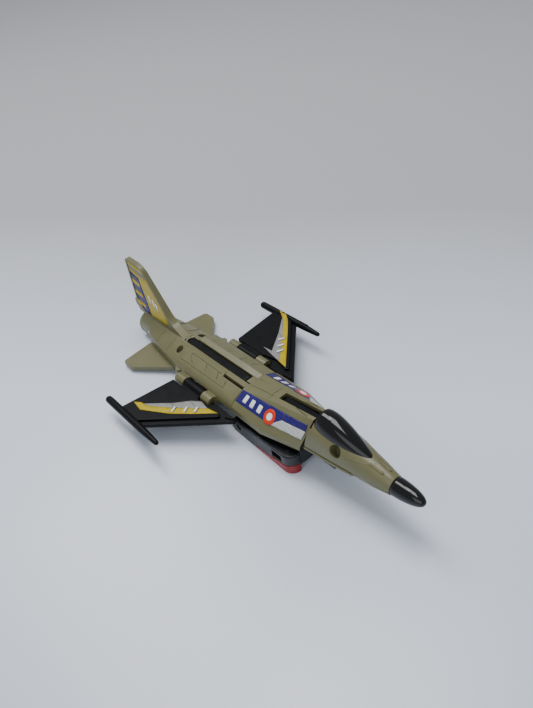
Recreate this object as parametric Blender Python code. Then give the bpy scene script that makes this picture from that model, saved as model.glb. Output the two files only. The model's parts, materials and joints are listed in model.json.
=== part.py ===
"""Folding toy jet: khaki body shells on a black belly tray, with hinged wings, nose, tail and two leg pods.

All lengths in the functions are millimetres from the datum, a point in the wing plane on the centre line.
X runs forward to the nose, Y to the left wing and Z up. Each moving body hangs on an empty on its hinge axis.
"""
import math

import bmesh
import bpy
from mathutils import Matrix, Vector

MM = 0.001
STANCE = 3.45                # nose-up angle, degrees, on the leg pods and the rim of the exhaust
DATUM_HEIGHT = 10.693        # datum above the surface the toy stands on
DATUM_FORWARD = 4.32         # datum ahead of the middle of the whole length
GAP = 0.3                    # running and seam gap between neighbours
WALL = 1.4                   # moulded wall thickness
SIDES = (1, -1)              # left, right
SIDE_NAME = {1: "left", -1: "right"}

SHELL_REAR, SHELL_FRONT = -39.7, -2.6
SHELL_BOTTOM = -1.3
SPINE_HALF = 2.0             # half-width of the slot between the two rear shells
WING_HINGE_Y, WING_HINGE_Z = 13.3, -1.2
KNUCKLE_R = 2.3
REAR_KNUCKLE = (-34.6, -29.3)
FRONT_KNUCKLE = (-17.4, -12.2)
PIN_R = 0.6
PIN_HOLE_R = 0.9

COVER_REAR, COVER_KINK, COVER_FRONT = -2.3, 13.6, 33.1
SEAM_SLANT = 0.24            # the nose seam leans back by this much per millimetre below its top
SEAM_TOP = 11.8
SLOT_REAR, SLOT_HALF = 14.2, 1.75
TONGUE_REAR, TONGUE_FLOOR, TONGUE_TOP = -14.0, 3.7, 5.8
NOTCH_EDGE = -5.5
TONGUE_Y = (-4.4, -2.2)      # the tongue lies on the right of the spine slot only

NOSE_PIVOT = (16.0, 6.6)     # x, z
NOSE_REAR, NOSE_FRONT, NOSE_TIP = 34.05, 64.0, 75.0
NOSE_SPLIT = 1.6             # height of the seam between the nose shells
TAIL_PIVOT = (-8.0, 2.0)
TAIL_FRONT, TAIL_REAR, FIN_REAR = -40.3, -78.2, -83.5
TAIL_SPLIT = -1.6
LEG_PIVOT = (0.0, -7.2)
LEG_Y = (7.6, 12.0)
LEG_REAR, LEG_FRONT = -4.4, 28.4
TOE = (28.0, -12.4)          # x, z of a point on the standing surface

HINGES = {
    "airframe": (0, 0, 0),
    "left_wing": (-23.2, WING_HINGE_Y, WING_HINGE_Z),
    "right_wing": (-23.2, -WING_HINGE_Y, WING_HINGE_Z),
    "nose": (NOSE_PIVOT[0], 0, NOSE_PIVOT[1]),
    "tail": (TAIL_PIVOT[0], 0, TAIL_PIVOT[1]),
    "left_leg": (LEG_PIVOT[0], 9.8, LEG_PIVOT[1]),
    "right_leg": (LEG_PIVOT[0], -9.8, LEG_PIVOT[1]),
}

# name: (red, green, blue, roughness, metallic)
COLOURS = {
    "khaki": (0.34, 0.31, 0.20, 0.45, 0.0),
    "black_matte": (0.020, 0.021, 0.024, 0.60, 0.0),
    "black_gloss": (0.008, 0.008, 0.009, 0.12, 0.0),
    "red": (0.55, 0.03, 0.035, 0.35, 0.0),
    "steel": (0.55, 0.55, 0.56, 0.30, 1.0),
}


def clear_scene():
    for thing in list(bpy.data.objects):
        bpy.data.objects.remove(thing, do_unlink=True)


def make_materials():
    made = {}
    for name, (red, green, blue, roughness, metallic) in COLOURS.items():
        material = bpy.data.materials.new(name)
        material.use_nodes = True
        shader = material.node_tree.nodes["Principled BSDF"]
        shader.inputs["Base Color"].default_value = (red, green, blue, 1.0)
        shader.inputs["Roughness"].default_value = roughness
        shader.inputs["Metallic"].default_value = metallic
        made[name] = material
    return made


def make_bodies():
    """One empty for the datum and one on each hinge axis."""
    datum = bpy.data.objects.new("datum", None)
    datum.location = (DATUM_FORWARD * MM, 0, DATUM_HEIGHT * MM)
    datum.rotation_euler = (0, math.radians(-STANCE), 0)
    bpy.context.scene.collection.objects.link(datum)
    empties = {}
    for name, place in HINGES.items():
        empty = bpy.data.objects.new(name + "_axis", None)
        empty.parent = datum
        empty.location = Vector(place) * MM
        bpy.context.scene.collection.objects.link(empty)
        empties[name] = empty
    return empties


# ---------------------------------------------------------------- solid helpers

def loft(rings):
    """A closed solid through rings of equal length, with flat ends."""
    mesh = bmesh.new()
    layers = [[mesh.verts.new(Vector(point) * MM) for point in ring] for ring in rings]
    count = len(rings[0])
    for lower, upper in zip(layers, layers[1:]):
        for i in range(count):
            j = (i + 1) % count
            mesh.faces.new((lower[i], lower[j], upper[j], upper[i]))
    mesh.faces.new(list(reversed(layers[0])))
    mesh.faces.new(layers[-1])
    bmesh.ops.recalc_face_normals(mesh, faces=mesh.faces)
    data = bpy.data.meshes.new("solid")
    mesh.to_mesh(data)
    mesh.free()
    thing = bpy.data.objects.new("solid", data)
    bpy.context.scene.collection.objects.link(thing)
    return thing


def prism(outline, axis, low, high):
    """outline is (y, z), (x, z) or (x, y) for axis x, y or z."""
    order = {"x": lambda a, b, c: (c, a, b), "y": lambda a, b, c: (a, c, b), "z": lambda a, b, c: (a, b, c)}
    place = order[axis]
    return loft([[place(a, b, level) for a, b in outline] for level in (low, high)])


def box(x, y, z):
    return prism([(x[0], y[0]), (x[1], y[0]), (x[1], y[1]), (x[0], y[1])], "z", z[0], z[1])


def circle(centre, radius, sides, start=0.0, sweep=360.0):
    """Points on an arc, end point included only when it isn't a full turn."""
    steps = sides if sweep >= 360.0 else sides - 1
    angles = [math.radians(start + sweep * i / steps) for i in range(sides)]
    return [(centre[0] + radius * math.cos(a), centre[1] + radius * math.sin(a)) for a in angles]


def rod(axis, centre, radius, low, high, sides=16):
    return prism(circle(centre, radius, sides, start=180.0 / sides), axis, low, high)


def mirrored(outline, side):
    return [(a * side, b) for a, b in outline]


def both_halves(half):
    """A whole section from its left half, which runs from the top centre to the bottom centre or edge."""
    inner = [(y, z) for y, z in half if y > 0]
    return half + [(-y, z) for y, z in reversed(inner)]


def at(x, section):
    return [(x, y, z) for y, z in section]


def combine(body, operation, others):
    """Applies one exact Boolean per helper and removes the helpers."""
    for other in others:
        modifier = body.modifiers.new(operation.lower(), "BOOLEAN")
        modifier.operation = operation
        modifier.solver = "EXACT"
        modifier.object = other
        bpy.context.view_layer.update()
        depsgraph = bpy.context.evaluated_depsgraph_get()
        result = bpy.data.meshes.new_from_object(body.evaluated_get(depsgraph))
        body.modifiers.clear()
        old = body.data
        body.data = result
        bpy.data.meshes.remove(old)
        bpy.data.objects.remove(other, do_unlink=True)
    return body


def fuse(body, *others):
    return combine(body, "UNION", others)


def cut(body, *others):
    return combine(body, "DIFFERENCE", others)


def common(body, *others):
    return combine(body, "INTERSECT", others)


def keep(thing, name, body, material):
    """Names a finished piece and hangs it on its body's empty without moving it."""
    thing.name = name
    thing.data.name = name
    thing.data.transform(Matrix.Translation(-Vector(HINGES[body]) * MM))
    thing.parent = EMPTIES[body]
    thing.data.materials.clear()
    thing.data.materials.append(MATERIALS[material])
    thing.data.shade_smooth()
    thing.data.set_sharp_from_angle(angle=math.radians(35))
    return thing


# ---------------------------------------------------------------- airframe

SCREW_X = (-34.0, -12.0)
SCREW_Y = 7.0
BOSS_R, BOSS_TOP, PILOT_R, PILOT_TOP = 2.0, 3.6, 0.9, 3.0
SHELL_OUTER = [(SPINE_HALF, SHELL_BOTTOM), (SPINE_HALF, 5.4), (4.4, 5.8), (9.9, 3.2), (10.9, 1.9), (11.5, 0.4), (11.5, SHELL_BOTTOM)]
SHELL_INNER = [(3.7, -2.0), (3.7, 4.1), (4.2, 4.3), (8.8, 2.1), (9.6, 0.8), (9.6, -2.0)]


def rear_shell(side):
    """One half of the rear fuselage, open below, with two knuckles for the wing."""
    name = SIDE_NAME[side]
    shell = prism(mirrored(SHELL_OUTER, side), "x", SHELL_REAR, SHELL_FRONT)
    cut(shell, prism(mirrored(SHELL_INNER, side), "x", SHELL_REAR + WALL, SHELL_FRONT - WALL))
    for low, high in (REAR_KNUCKLE, FRONT_KNUCKLE):
        web = sorted((11.0 * side, WING_HINGE_Y * side))
        fuse(shell, box((low, high), web, (WING_HINGE_Z - 1.5, WING_HINGE_Z + 1.7)))
        fuse(shell, rod("x", (WING_HINGE_Y * side, WING_HINGE_Z), KNUCKLE_R, low, high, 20))
    fuse(shell, rod("z", (-37.5, 11.2 * side), 1.6, SHELL_BOTTOM, 0.6, 16))
    hinge_line = (WING_HINGE_Y * side, WING_HINGE_Z)
    barrel_room = rod("x", hinge_line, KNUCKLE_R + GAP, REAR_KNUCKLE[1], FRONT_KNUCKLE[0], 20)
    pin_hole = rod("x", hinge_line, PIN_HOLE_R, REAR_KNUCKLE[0] + 0.8, FRONT_KNUCKLE[1] + 1.0, 12)
    cut(shell, barrel_room, pin_hole)
    for x in SCREW_X:
        fuse(shell, rod("z", (x, SCREW_Y * side), BOSS_R, SHELL_BOTTOM, BOSS_TOP, 16))
        cut(shell, rod("z", (x, SCREW_Y * side), PILOT_R, SHELL_BOTTOM - 1, PILOT_TOP, 12))
    cut(shell, rod("y", TAIL_PIVOT, PIN_HOLE_R, *sorted((1.6 * side, 3.1 * side)), 12))
    if side < 0:
        cut(shell, box((TONGUE_REAR - GAP, 0), (NOTCH_EDGE, -1.8), (TONGUE_FLOOR - GAP, 9)))
    return keep(shell, "rear_shell_" + name, "airframe", "khaki")


COVER_OUTER = {
    COVER_REAR: [(0, 5.9), (4.9, 5.9), (10.3, 2.9), (11.6, 1.2), (11.7, -1.3)],
    COVER_KINK: [(0, 8.7), (4.1, 8.4), (10.2, 2.9), (11.8, 1.1), (11.9, -1.3)],
    COVER_FRONT: [(0, 11.8), (2.9, 11.3), (7.2, 3.2), (8.4, 1.2), (8.5, -0.6)],
}
COVER_INNER = {
    COVER_REAR + WALL: [(0, 4.5), (4.3, 4.5), (9.0, 1.8), (10.3, 0.4), (10.3, -2.0)],
    COVER_KINK: [(0, 7.3), (3.6, 7.0), (8.9, 1.9), (10.4, 0.4), (10.4, -2.0)],
    COVER_FRONT - WALL: [(0, 10.0), (1.9, 9.7), (5.8, 2.8), (7.0, 0.8), (7.0, -2.0)],
}


def slanted(x, section):
    """A section leaned back below the top of the nose seam, used only for the cover's front end."""
    lean = SEAM_SLANT if x > COVER_KINK else 0.0
    return [(x - lean * (SEAM_TOP - z), y, z) for y, z in section]


def forebody_cover():
    """The one-piece cover ahead of the rear shells, slotted for the nose arm, with a tongue beside the boom."""
    cover = loft([slanted(x, both_halves(half)) for x, half in COVER_OUTER.items()])
    cut(cover, loft([slanted(x, both_halves(half)) for x, half in COVER_INNER.items()]))
    x, z = NOSE_PIVOT
    for side in SIDES:
        fuse(cover, box((x - 2.2, x + 2.2), sorted((1.2 * side, 4.0 * side)), (z - 2.0, z + 1.4)))
    cut(cover, box((SLOT_REAR, COVER_FRONT + 1), (-SLOT_HALF, SLOT_HALF), (z - 2.6, 14)))
    cut(cover, rod("y", NOSE_PIVOT, PIN_HOLE_R, -3.4, 3.4, 12))
    fuse(cover, box((TONGUE_REAR, COVER_REAR + 1.0), TONGUE_Y, (TONGUE_FLOOR, TONGUE_TOP)))
    fuse(cover, box((BOOM_FRONT + GAP, COVER_REAR + 1.0), (-1.65, 1.65), (2.6, TONGUE_TOP)))
    return keep(cover, "forebody_cover", "airframe", "khaki")


TRAY_TOP, TRAY_REAR_BOTTOM, TRAY_FRONT_BOTTOM = -1.6, -3.4, -2.35
TRAY_STEP = -6.2
COUNTERBORE_R, COUNTERBORE_TOP = 2.0, -2.3
KEEL_X, KEEL_HALF, KEEL_BOTTOM, KEEL_TOP = (-5.8, 28.2), 7.2, -9.7, -2.65
KEEL_SCREW_X = 20.0


def belly_tray():
    """The black plate that closes the body from below, thicker behind the leg pods."""
    rear = box((SHELL_REAR + GAP, TRAY_STEP), (-10.6, 10.6), (TRAY_REAR_BOTTOM, TRAY_TOP))
    outline = [(TRAY_STEP - 1.0, 10.6), (COVER_KINK, 10.6), (COVER_FRONT - 3.6, 7.2)]
    plan = outline + [(x, -y) for x, y in reversed(outline)]
    tray = fuse(rear, prism(plan, "z", TRAY_FRONT_BOTTOM, TRAY_TOP))
    for x in SCREW_X:
        for side in SIDES:
            cut(tray, rod("z", (x, SCREW_Y * side), PILOT_R, -5, 0, 12))
            cut(tray, rod("z", (x, SCREW_Y * side), COUNTERBORE_R, -5, COUNTERBORE_TOP, 16))
    cut(tray, rod("z", (KEEL_SCREW_X, 0), PILOT_R, -5, 0, 12))
    return keep(tray, "belly_tray", "airframe", "black_matte")


def keel_housing():
    """The deep box between the leg pods, open at the top, which carries their pin."""
    keel = box(KEEL_X, (-KEEL_HALF, KEEL_HALF), (KEEL_BOTTOM, KEEL_TOP))
    inside = (KEEL_X[0] + WALL, KEEL_X[1] - WALL)
    cut(keel, box(inside, (-KEEL_HALF + WALL, KEEL_HALF - WALL), (KEEL_BOTTOM + WALL, KEEL_TOP + 1)))
    fuse(keel, rod("z", (KEEL_SCREW_X, 0), BOSS_R, KEEL_BOTTOM + 0.5, KEEL_TOP, 16))
    cut(keel, rod("z", (KEEL_SCREW_X, 0), PILOT_R, KEEL_BOTTOM - 1, KEEL_TOP + 1, 12))
    cut(keel, rod("z", (KEEL_SCREW_X, 0), COUNTERBORE_R, KEEL_BOTTOM - 1, KEEL_BOTTOM + 1.1, 16))
    cut(keel, rod("y", LEG_PIVOT, PIN_R + 0.7, -8, 8, 12))
    return keep(keel, "keel_housing", "airframe", "black_matte")


def screw(name, body, x, y, head_low, head_high, tip, head_r=1.6):
    """A pan-head screw driven upwards, with a cross recess in its head."""
    head = rod("z", (x, y), head_r, head_low, head_high, 16)
    fuse(head, rod("z", (x, y), PIN_R, head_high - 0.2, tip, 12))
    depth = head_low + 0.5
    cut(head, box((x - 0.9, x + 0.9), (y - 0.2, y + 0.2), (head_low - 1, depth)))
    cut(head, box((x - 0.2, x + 0.2), (y - 0.9, y + 0.9), (head_low - 1, depth)))
    return keep(head, name, body, "steel")


def airframe_fasteners():
    for place, x in zip(("rear", "front"), SCREW_X):
        for side in SIDES:
            name = f"belly_screw_{place}_{SIDE_NAME[side]}"
            screw(name, "airframe", x, SCREW_Y * side, -3.3, COUNTERBORE_TOP - GAP, 2.6)
    screw("keel_screw", "airframe", KEEL_SCREW_X, 0, KEEL_BOTTOM + 0.1, KEEL_BOTTOM + 0.8, -1.8)
    for side in SIDES:
        pin = rod("x", (WING_HINGE_Y * side, WING_HINGE_Z), PIN_R, REAR_KNUCKLE[0] + 1.1, FRONT_KNUCKLE[1] - 0.1, 12)
        keep(pin, "wing_pin_" + SIDE_NAME[side], "airframe", "steel")
    keep(rod("y", TAIL_PIVOT, PIN_R, -2.9, 2.9, 12), "boom_pin", "airframe", "steel")
    keep(rod("y", NOSE_PIVOT, PIN_R, -3.1, 3.1, 12), "nose_pin", "airframe", "steel")
    keep(rod("y", LEG_PIVOT, PIN_R + 0.4, -11.4, 11.4, 12), "leg_pin", "airframe", "steel")


# ---------------------------------------------------------------- wings

WING_Z = (WING_HINGE_Z - 1.2, WING_HINGE_Z + 1.2)
WING_OUTLINE = [
    (-34.2, 16.3), (-36.9, 38.8), (-23.1, 38.8), (0.6, 15.9), (2.0, 14.6), (2.2, 13.9), (1.5, 13.3),
    (-11.8, 13.3), (-11.8, 16.0), (-17.8, 16.0), (-17.8, 13.3), (-28.9, 13.3), (-28.9, 16.0),
]
RAIL_Y, RAIL_Z, RAIL_REAR = 39.5, -0.9, -46.4
RAIL_STATIONS = [(0.0, 0.6), (0.5, 1.2), (1.5, 1.5), (22.0, 1.5), (30.0, 1.25), (35.4, 0.95), (36.3, 0.45)]


def wing_panel(side):
    """The flat wing with its hinge barrel and the rail along its tip, one moulding."""
    name = SIDE_NAME[side]
    panel = prism([(x, y * side) for x, y in WING_OUTLINE], "z", *WING_Z)
    hinge_line = (WING_HINGE_Y * side, WING_HINGE_Z)
    fuse(panel, rod("x", hinge_line, KNUCKLE_R - 0.1, -28.9, -17.8, 20))
    rail = [at(RAIL_REAR + d, circle((RAIL_Y * side, RAIL_Z), r, 14)) for d, r in RAIL_STATIONS]
    fuse(panel, loft(rail))
    cut(panel, rod("x", hinge_line, PIN_HOLE_R, -30, -16, 12))
    return keep(panel, name + "_wing_panel", name + "_wing", "black_matte")


# ---------------------------------------------------------------- nose

# station: (half-width, half-width below the ledge, height above the seam, depth below it, squareness)
NOSE_STATIONS = {
    30.0: (7.4, 6.0, 10.4, 4.4, 3.0),
    NOSE_REAR: (6.9, 5.6, 9.7, 4.4, 3.0),
    40.0: (6.4, 5.3, 8.8, 4.3, 2.9),
    46.0: (5.75, 4.9, 7.7, 4.2, 2.7),
    52.0: (5.05, 4.6, 6.5, 4.0, 2.4),
    58.0: (4.3, 4.2, 5.2, 3.6, 2.2),
    NOSE_FRONT: (3.3, 3.3, 3.6, 2.9, 2.0),
}
NOSE_POINTS = 24
LEDGE = [(30.0, 7.6), (NOSE_REAR, 7.2), (40.0, 6.75), (46.0, 6.1), (50.5, 5.5), (51.5, 4.8)]
LEDGE_Z = (0.5, NOSE_SPLIT - GAP)


def nose_section(x, inset=0.0):
    """A squarish oval with its widest level at the seam."""
    half, lower_half, up, down, power = NOSE_STATIONS[x]
    section = []
    for i in range(NOSE_POINTS):
        angle = 2 * math.pi * i / NOSE_POINTS
        c, s = math.cos(angle), math.sin(angle)
        upper = s > -1e-6
        width = (half if upper else lower_half) - inset
        y = width * math.copysign(abs(c) ** (2 / power), c)
        rise = ((up if upper else down) - inset) * abs(s) ** (2 / power)
        section.append((y, NOSE_SPLIT + math.copysign(rise, s)))
    return section


def nose_solid(inset=0.0):
    return loft([at(x, nose_section(x, inset)) for x in NOSE_STATIONS])


def nose_room(low, high):
    """The hollow inside the nose shells, limited to a band of heights."""
    places = {35.8: NOSE_REAR, 40.0: 40.0, 46.0: 46.0, 52.0: 52.0, 58.0: 58.0, 61.0: NOSE_FRONT}
    room = loft([at(x, nose_section(station, 1.8)) for x, station in places.items()])
    return common(room, box((30, 70), (-10, 10), (low, high)))


def behind_nose_seam(x_at_top):
    """Everything behind the slanted seam plane."""
    low, high = -12.0, 20.0
    edge = [(x_at_top - SEAM_SLANT * (SEAM_TOP - z), z) for z in (low, high)]
    return prism([(20, low), edge[0], edge[1], (20, high)], "y", -12, 12)


SOCKET_R, SOCKET_DEPTH = 2.1, 2.6
NOSE_SOCKET = (44.2, 5.5, 7.0)
NOSE_SOCKET_TILT = 50.0      # degrees from straight up, outwards
SPIGOT_R = 2.0
SPIGOT_Z = 1.9
SWEEP_R = 18.2               # room for the cover's top edge as the nose swings up
SWEEP_HALF = 5.2
NOSE_SCREW_X = 52.0


def tilted_rod(centre, radius, low, high, tilt, sides=18):
    """A rod on an axis that leans outwards by tilt degrees from straight up."""
    lean = math.radians(tilt) * (1 if centre[1] > 0 else -1)
    axis = Vector((0, math.sin(lean), math.cos(lean)))
    across = Vector((0, math.cos(lean), -math.sin(lean)))
    rings = []
    for level in (low, high):
        ring = circle((0, 0), radius, sides)
        rings.append([Vector(centre) + Vector((1, 0, 0)) * a + across * b + axis * level for a, b in ring])
    return loft(rings)


ARM_HALF = 1.35
ARM_FRONT = 38.0


def nose_upper_shell():
    """The upper nose, hollow from below, with a pocket for the arm and a blind peg socket on each shoulder."""
    shell = nose_solid()
    cut(shell, box((20, 70), (-12, 12), (-12, NOSE_SPLIT)), behind_nose_seam(COVER_FRONT + 0.8))
    cut(shell, nose_room(-10, 5.2))
    cut(shell, rod("y", NOSE_PIVOT, SWEEP_R, -SWEEP_HALF, SWEEP_HALF, 72))
    cut(shell, box((30, ARM_FRONT + GAP), (-ARM_HALF - GAP, ARM_HALF + GAP), (6.1, 9.9)))
    cut(shell, rod("x", (0, SPIGOT_Z), SPIGOT_R + GAP, NOSE_FRONT - 2.6, NOSE_FRONT + 1, 16))
    cut(shell, rod("z", (NOSE_SCREW_X, 0), PILOT_R, 0, 5.6, 12))
    for side in SIDES:
        centre = (NOSE_SOCKET[0], NOSE_SOCKET[1] * side, NOSE_SOCKET[2])
        cut(shell, tilted_rod(centre, SOCKET_R, -SOCKET_DEPTH, 4.0, NOSE_SOCKET_TILT))
    return keep(shell, "nose_upper_shell", "nose", "khaki")


def nose_lower_shell():
    """The lower nose, with a narrow ledge that stands out just below the seam."""
    shell = nose_solid()
    ledge = LEDGE + [(x, -y) for x, y in reversed(LEDGE)]
    fuse(shell, prism(ledge, "z", *LEDGE_Z))
    cut(shell, box((20, 70), (-12, 12), (NOSE_SPLIT - GAP, 20)), behind_nose_seam(COVER_FRONT + 0.8))
    cut(shell, rod("y", NOSE_PIVOT, SWEEP_R, -SWEEP_HALF, SWEEP_HALF, 72))
    cut(shell, nose_room(-8, 5))
    cut(shell, rod("x", (0, SPIGOT_Z), SPIGOT_R + GAP, NOSE_FRONT - 2.6, NOSE_FRONT + 1, 16))
    fuse(shell, rod("z", (NOSE_SCREW_X, 0), BOSS_R, -1.6, NOSE_SPLIT - GAP, 16))
    cut(shell, rod("z", (NOSE_SCREW_X, 0), PILOT_R, -10, 5, 12))
    cut(shell, rod("z", (NOSE_SCREW_X, 0), COUNTERBORE_R, -10, -1.2, 16))
    cut(shell, box((30, 42.6), (-4.9, 4.9), (-6.0, -2.2)))
    return keep(shell, "nose_lower_shell", "nose", "khaki")


def nose_keel_plate():
    """The black plate set into the underside of the nose."""
    plate = box((NOSE_REAR, 42.3), (-4.6, 4.6), (-3.8, -2.5))
    return keep(plate, "nose_keel_plate", "nose", "black_matte")


CONE_SEGMENTS, CONE_SIDES = 9, 24
CONE_BASE = NOSE_FRONT + GAP
CONE_R = 3.2


def nose_cone():
    """The glossy ogive tip, plugged into the nose shells by a spigot."""
    rings = []
    for i in range(CONE_SEGMENTS + 1):
        turn = math.radians(88.0 * i / CONE_SEGMENTS)
        x = CONE_BASE + (NOSE_TIP - CONE_BASE) * math.sin(turn) ** 1.05
        radius = CONE_R * math.cos(turn) ** 0.85
        rings.append(at(x, circle((0, SPIGOT_Z + 0.2 + 0.5 * math.sin(turn)), radius, CONE_SIDES)))
    cone = loft(rings)
    fuse(cone, rod("x", (0, SPIGOT_Z), SPIGOT_R, NOSE_FRONT - 2.3, CONE_BASE + 1, 16))
    return keep(cone, "nose_cone", "nose", "black_gloss")


CANOPY_REAR, CANOPY_TIP = 34.3, 56.2
CANOPY_STATIONS, CANOPY_POINTS = 14, 12


def canopy_shape(t):
    """Half-width, base height and top height at a fraction t of the canopy's length from its rear."""
    half = 4.6 * math.sin(math.pi * min(t + 0.03, 1.0) ** 0.52) ** 0.62
    base = 10.4 - 4.1 * t
    top = base + 4.8 * math.sin(math.pi * min(t + 0.03, 1.0) ** 0.5) ** 0.66
    return half, base, top


def canopy():
    """The glossy teardrop that sits on the nose, rounded behind and pointed in front."""
    rings = []
    for i in range(CANOPY_STATIONS + 1):
        t = 0.5 - 0.5 * math.cos(math.pi * (0.04 + 0.95 * i / CANOPY_STATIONS))
        half, base, top = canopy_shape(t)
        x = CANOPY_REAR + (CANOPY_TIP - CANOPY_REAR) * t
        arc = [(a, b) for a, b in circle((0, 0), 1.0, CANOPY_POINTS, 0, 180)]
        rings.append([(x, half * a, base + (top - base) * b) for a, b in arc] + [(x, 0, base - 1.2)])
    dome = loft(rings)
    seat = nose_solid(inset=-GAP)
    return keep(cut(dome, seat), "canopy", "nose", "black_gloss")


def nose_link():
    """The black arm in the slot, which joins the nose to its pivot."""
    x, z = NOSE_PIVOT
    boss = circle((x, z), 1.5, 10, 90, 180)
    arm = prism(boss + [(30.0, 6.1), (34.5, 6.5), (ARM_FRONT, 6.5), (ARM_FRONT, 9.6), (30.0, 9.6)],
                "y", -ARM_HALF, ARM_HALF)
    cut(arm, rod("y", NOSE_PIVOT, PIN_HOLE_R, -3, 3, 12))
    return keep(arm, "nose_link", "nose", "black_matte")


# ---------------------------------------------------------------- tail

# station: left half of the body section, from the top centre down
TAIL_UPPER = {
    TAIL_FRONT: [(0, 5.0), (2.7, 5.0), (3.3, 4.5), (9.2, 1.6), (10.4, 0.2), (10.5, -1.6)],
    -54.0: [(0, 4.8), (2.4, 4.8), (3.1, 4.4), (8.2, 1.7), (9.1, 0.3), (9.2, -1.6)],
    -66.0: [(0, 4.6), (2.1, 4.6), (2.9, 4.3), (6.6, 2.0), (7.4, 0.5), (7.5, -1.6)],
    -69.5: [(0, 4.3), (1.7, 4.3), (3.2, 3.5), (4.6, 2.2), (5.4, 0.5), (5.5, -1.6)],
    TAIL_REAR: [(0, 4.1), (1.6, 4.1), (3.1, 3.2), (4.3, 2.0), (5.1, 0.3), (5.2, -1.6)],
}
TAIL_LOWER = {
    TAIL_FRONT: [(10.5, -1.9), (10.1, -4.8), (8.8, -6.1), (0, -6.1)],
    -54.0: [(9.2, -1.9), (8.9, -4.9), (7.6, -6.1), (0, -6.1)],
    -66.0: [(7.5, -1.9), (7.2, -4.8), (5.8, -6.1), (0, -6.1)],
    -69.5: [(5.5, -1.9), (5.0, -3.9), (3.4, -5.6), (0, -6.2)],
    TAIL_REAR: [(5.2, -1.9), (4.7, -3.7), (3.1, -5.3), (0, -5.98)],
}
TAILPLANE = [(-68.0, 0), (-68.0, 8.0), (-66.4, 21.0), (-65.4, 21.9), (-60.4, 21.9), (-59.2, 21.2), (-45.6, 10.0), (-45.6, 0)]
TAILPLANE_Z = (-6.0, -4.3)
FIN_OUTLINE = [
    (-46.0, 3.0), (-46.0, 4.4), (-53.6, 8.2), (-56.5, 11.2), (-67.6, 28.0), (-70.4, 30.0), (-72.8, 30.5), (-80.4, 30.7),
    (-81.4, 29.9), (-81.2, 11.2), (-82.9, 10.0), (-82.9, 7.4), (-81.6, 6.4), (-81.0, 4.8), (-77.0, 4.0), (-70.0, 3.0),
]
FIN_HALF = 1.6
FIN_FIELD = [(-57.9, 5.4), (-58.6, 10.6), (-68.8, 26.4), (-71.2, 28.6), (-80.4, 29.3), (-80.2, 11.6), (-76.2, 5.4)]
FIELD_DEPTH = 0.35
BOOM_HALF = 1.55
BOOM_R = 3.1                 # round front end of the boom
BOOM_FRONT = TAIL_PIVOT[0] + BOOM_R
BOOM_END = -45.2
NOZZLE_R, NOZZLE_CENTRE = 4.0, -1.0
TAIL_SOCKET = (-43.9, 5.6)
TAIL_SCREW_X = -56.0


def lower_ring(half):
    """The tail's lower section closed along the seam."""
    return [(y, z) for y, z in half] + [(-y, z) for y, z in reversed(half) if y > 0]


def tail_upper_shell():
    """The upper tail with the fin, a cup for the boom, the top of the exhaust and two peg sockets."""
    shell = loft([at(x, both_halves(half)) for x, half in TAIL_UPPER.items()])
    fuse(shell, prism(FIN_OUTLINE, "y", -FIN_HALF, FIN_HALF))
    for side in SIDES:
        cut(shell, prism(FIN_FIELD, "y", *sorted(((FIN_HALF - FIELD_DEPTH) * side, 5.0 * side))))
    cut(shell, box((BOOM_END - GAP, TAIL_FRONT + 1), (-BOOM_HALF - GAP, BOOM_HALF + GAP), (1.0, 9)))
    inner = [(0, 3.0), (3.0, 3.0), (7.6, 0.9), (9.0, -0.6), (9.0, -3.0)]
    narrow = [(0, 2.6), (1.8, 2.6), (4.6, 1.2), (5.8, -0.2), (5.8, -3.0)]
    cut(shell, loft([at(BOOM_END - WALL, both_halves(inner)), at(-66.0, both_halves(narrow))]))
    cut(shell, rod("x", (0, NOZZLE_CENTRE), NOZZLE_R, TAIL_REAR - 2, TAIL_REAR + 7, 20))
    fuse(shell, rod("z", (TAIL_SCREW_X, 0), BOSS_R, TAIL_SPLIT, 3.6, 16))
    cut(shell, rod("z", (TAIL_SCREW_X, 0), PILOT_R, -3, 3.2, 12))
    for side in SIDES:
        cut(shell, rod("z", (TAIL_SOCKET[0], TAIL_SOCKET[1] * side), 1.6, 1.2, 9, 16))
    return keep(shell, "tail_upper_shell", "tail", "khaki")


def tail_lower_shell():
    """The lower tail with both tailplanes and the bottom of the exhaust."""
    shell = loft([at(x, lower_ring(half)) for x, half in TAIL_LOWER.items()])
    planes = [(x, y) for x, y in TAILPLANE] + [(x, -y) for x, y in reversed(TAILPLANE) if y > 0]
    fuse(shell, prism(planes, "z", *TAILPLANE_Z))
    inner = [(9.0, 0.0), (8.6, -4.0), (7.6, -4.8), (0, -4.8)]
    narrow = [(5.8, 0.0), (5.5, -4.0), (4.6, -4.8), (0, -4.8)]
    cut(shell, loft([at(TAIL_FRONT - WALL, lower_ring(inner)), at(-66.0, lower_ring(narrow))]))
    fuse(shell, rod("z", (TAIL_SCREW_X, 0), BOSS_R, -5.4, TAIL_SPLIT - GAP, 16))
    cut(shell, rod("z", (TAIL_SCREW_X, 0), PILOT_R, -9, 2, 12))
    cut(shell, rod("z", (TAIL_SCREW_X, 0), COUNTERBORE_R, -9, -5.0, 16))
    cut(shell, rod("x", (0, NOZZLE_CENTRE), NOZZLE_R, TAIL_REAR - 2, TAIL_REAR + 7, 20))
    return keep(shell, "tail_lower_shell", "tail", "khaki")


def tail_boom():
    """The black bar along the spine slot, round at its pivot and cupped by the tail at its rear end."""
    x, z = TAIL_PIVOT
    front = circle((x, z), BOOM_R, 14, -90, 180)
    bar = prism(front + [(BOOM_END, 4.7), (BOOM_END, 1.4), (-14.0, 1.0)], "y", -BOOM_HALF, BOOM_HALF)
    cut(bar, rod("y", TAIL_PIVOT, PIN_HOLE_R, -3, 3, 12))
    return keep(bar, "tail_boom", "tail", "black_matte")


# ---------------------------------------------------------------- leg pods

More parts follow.
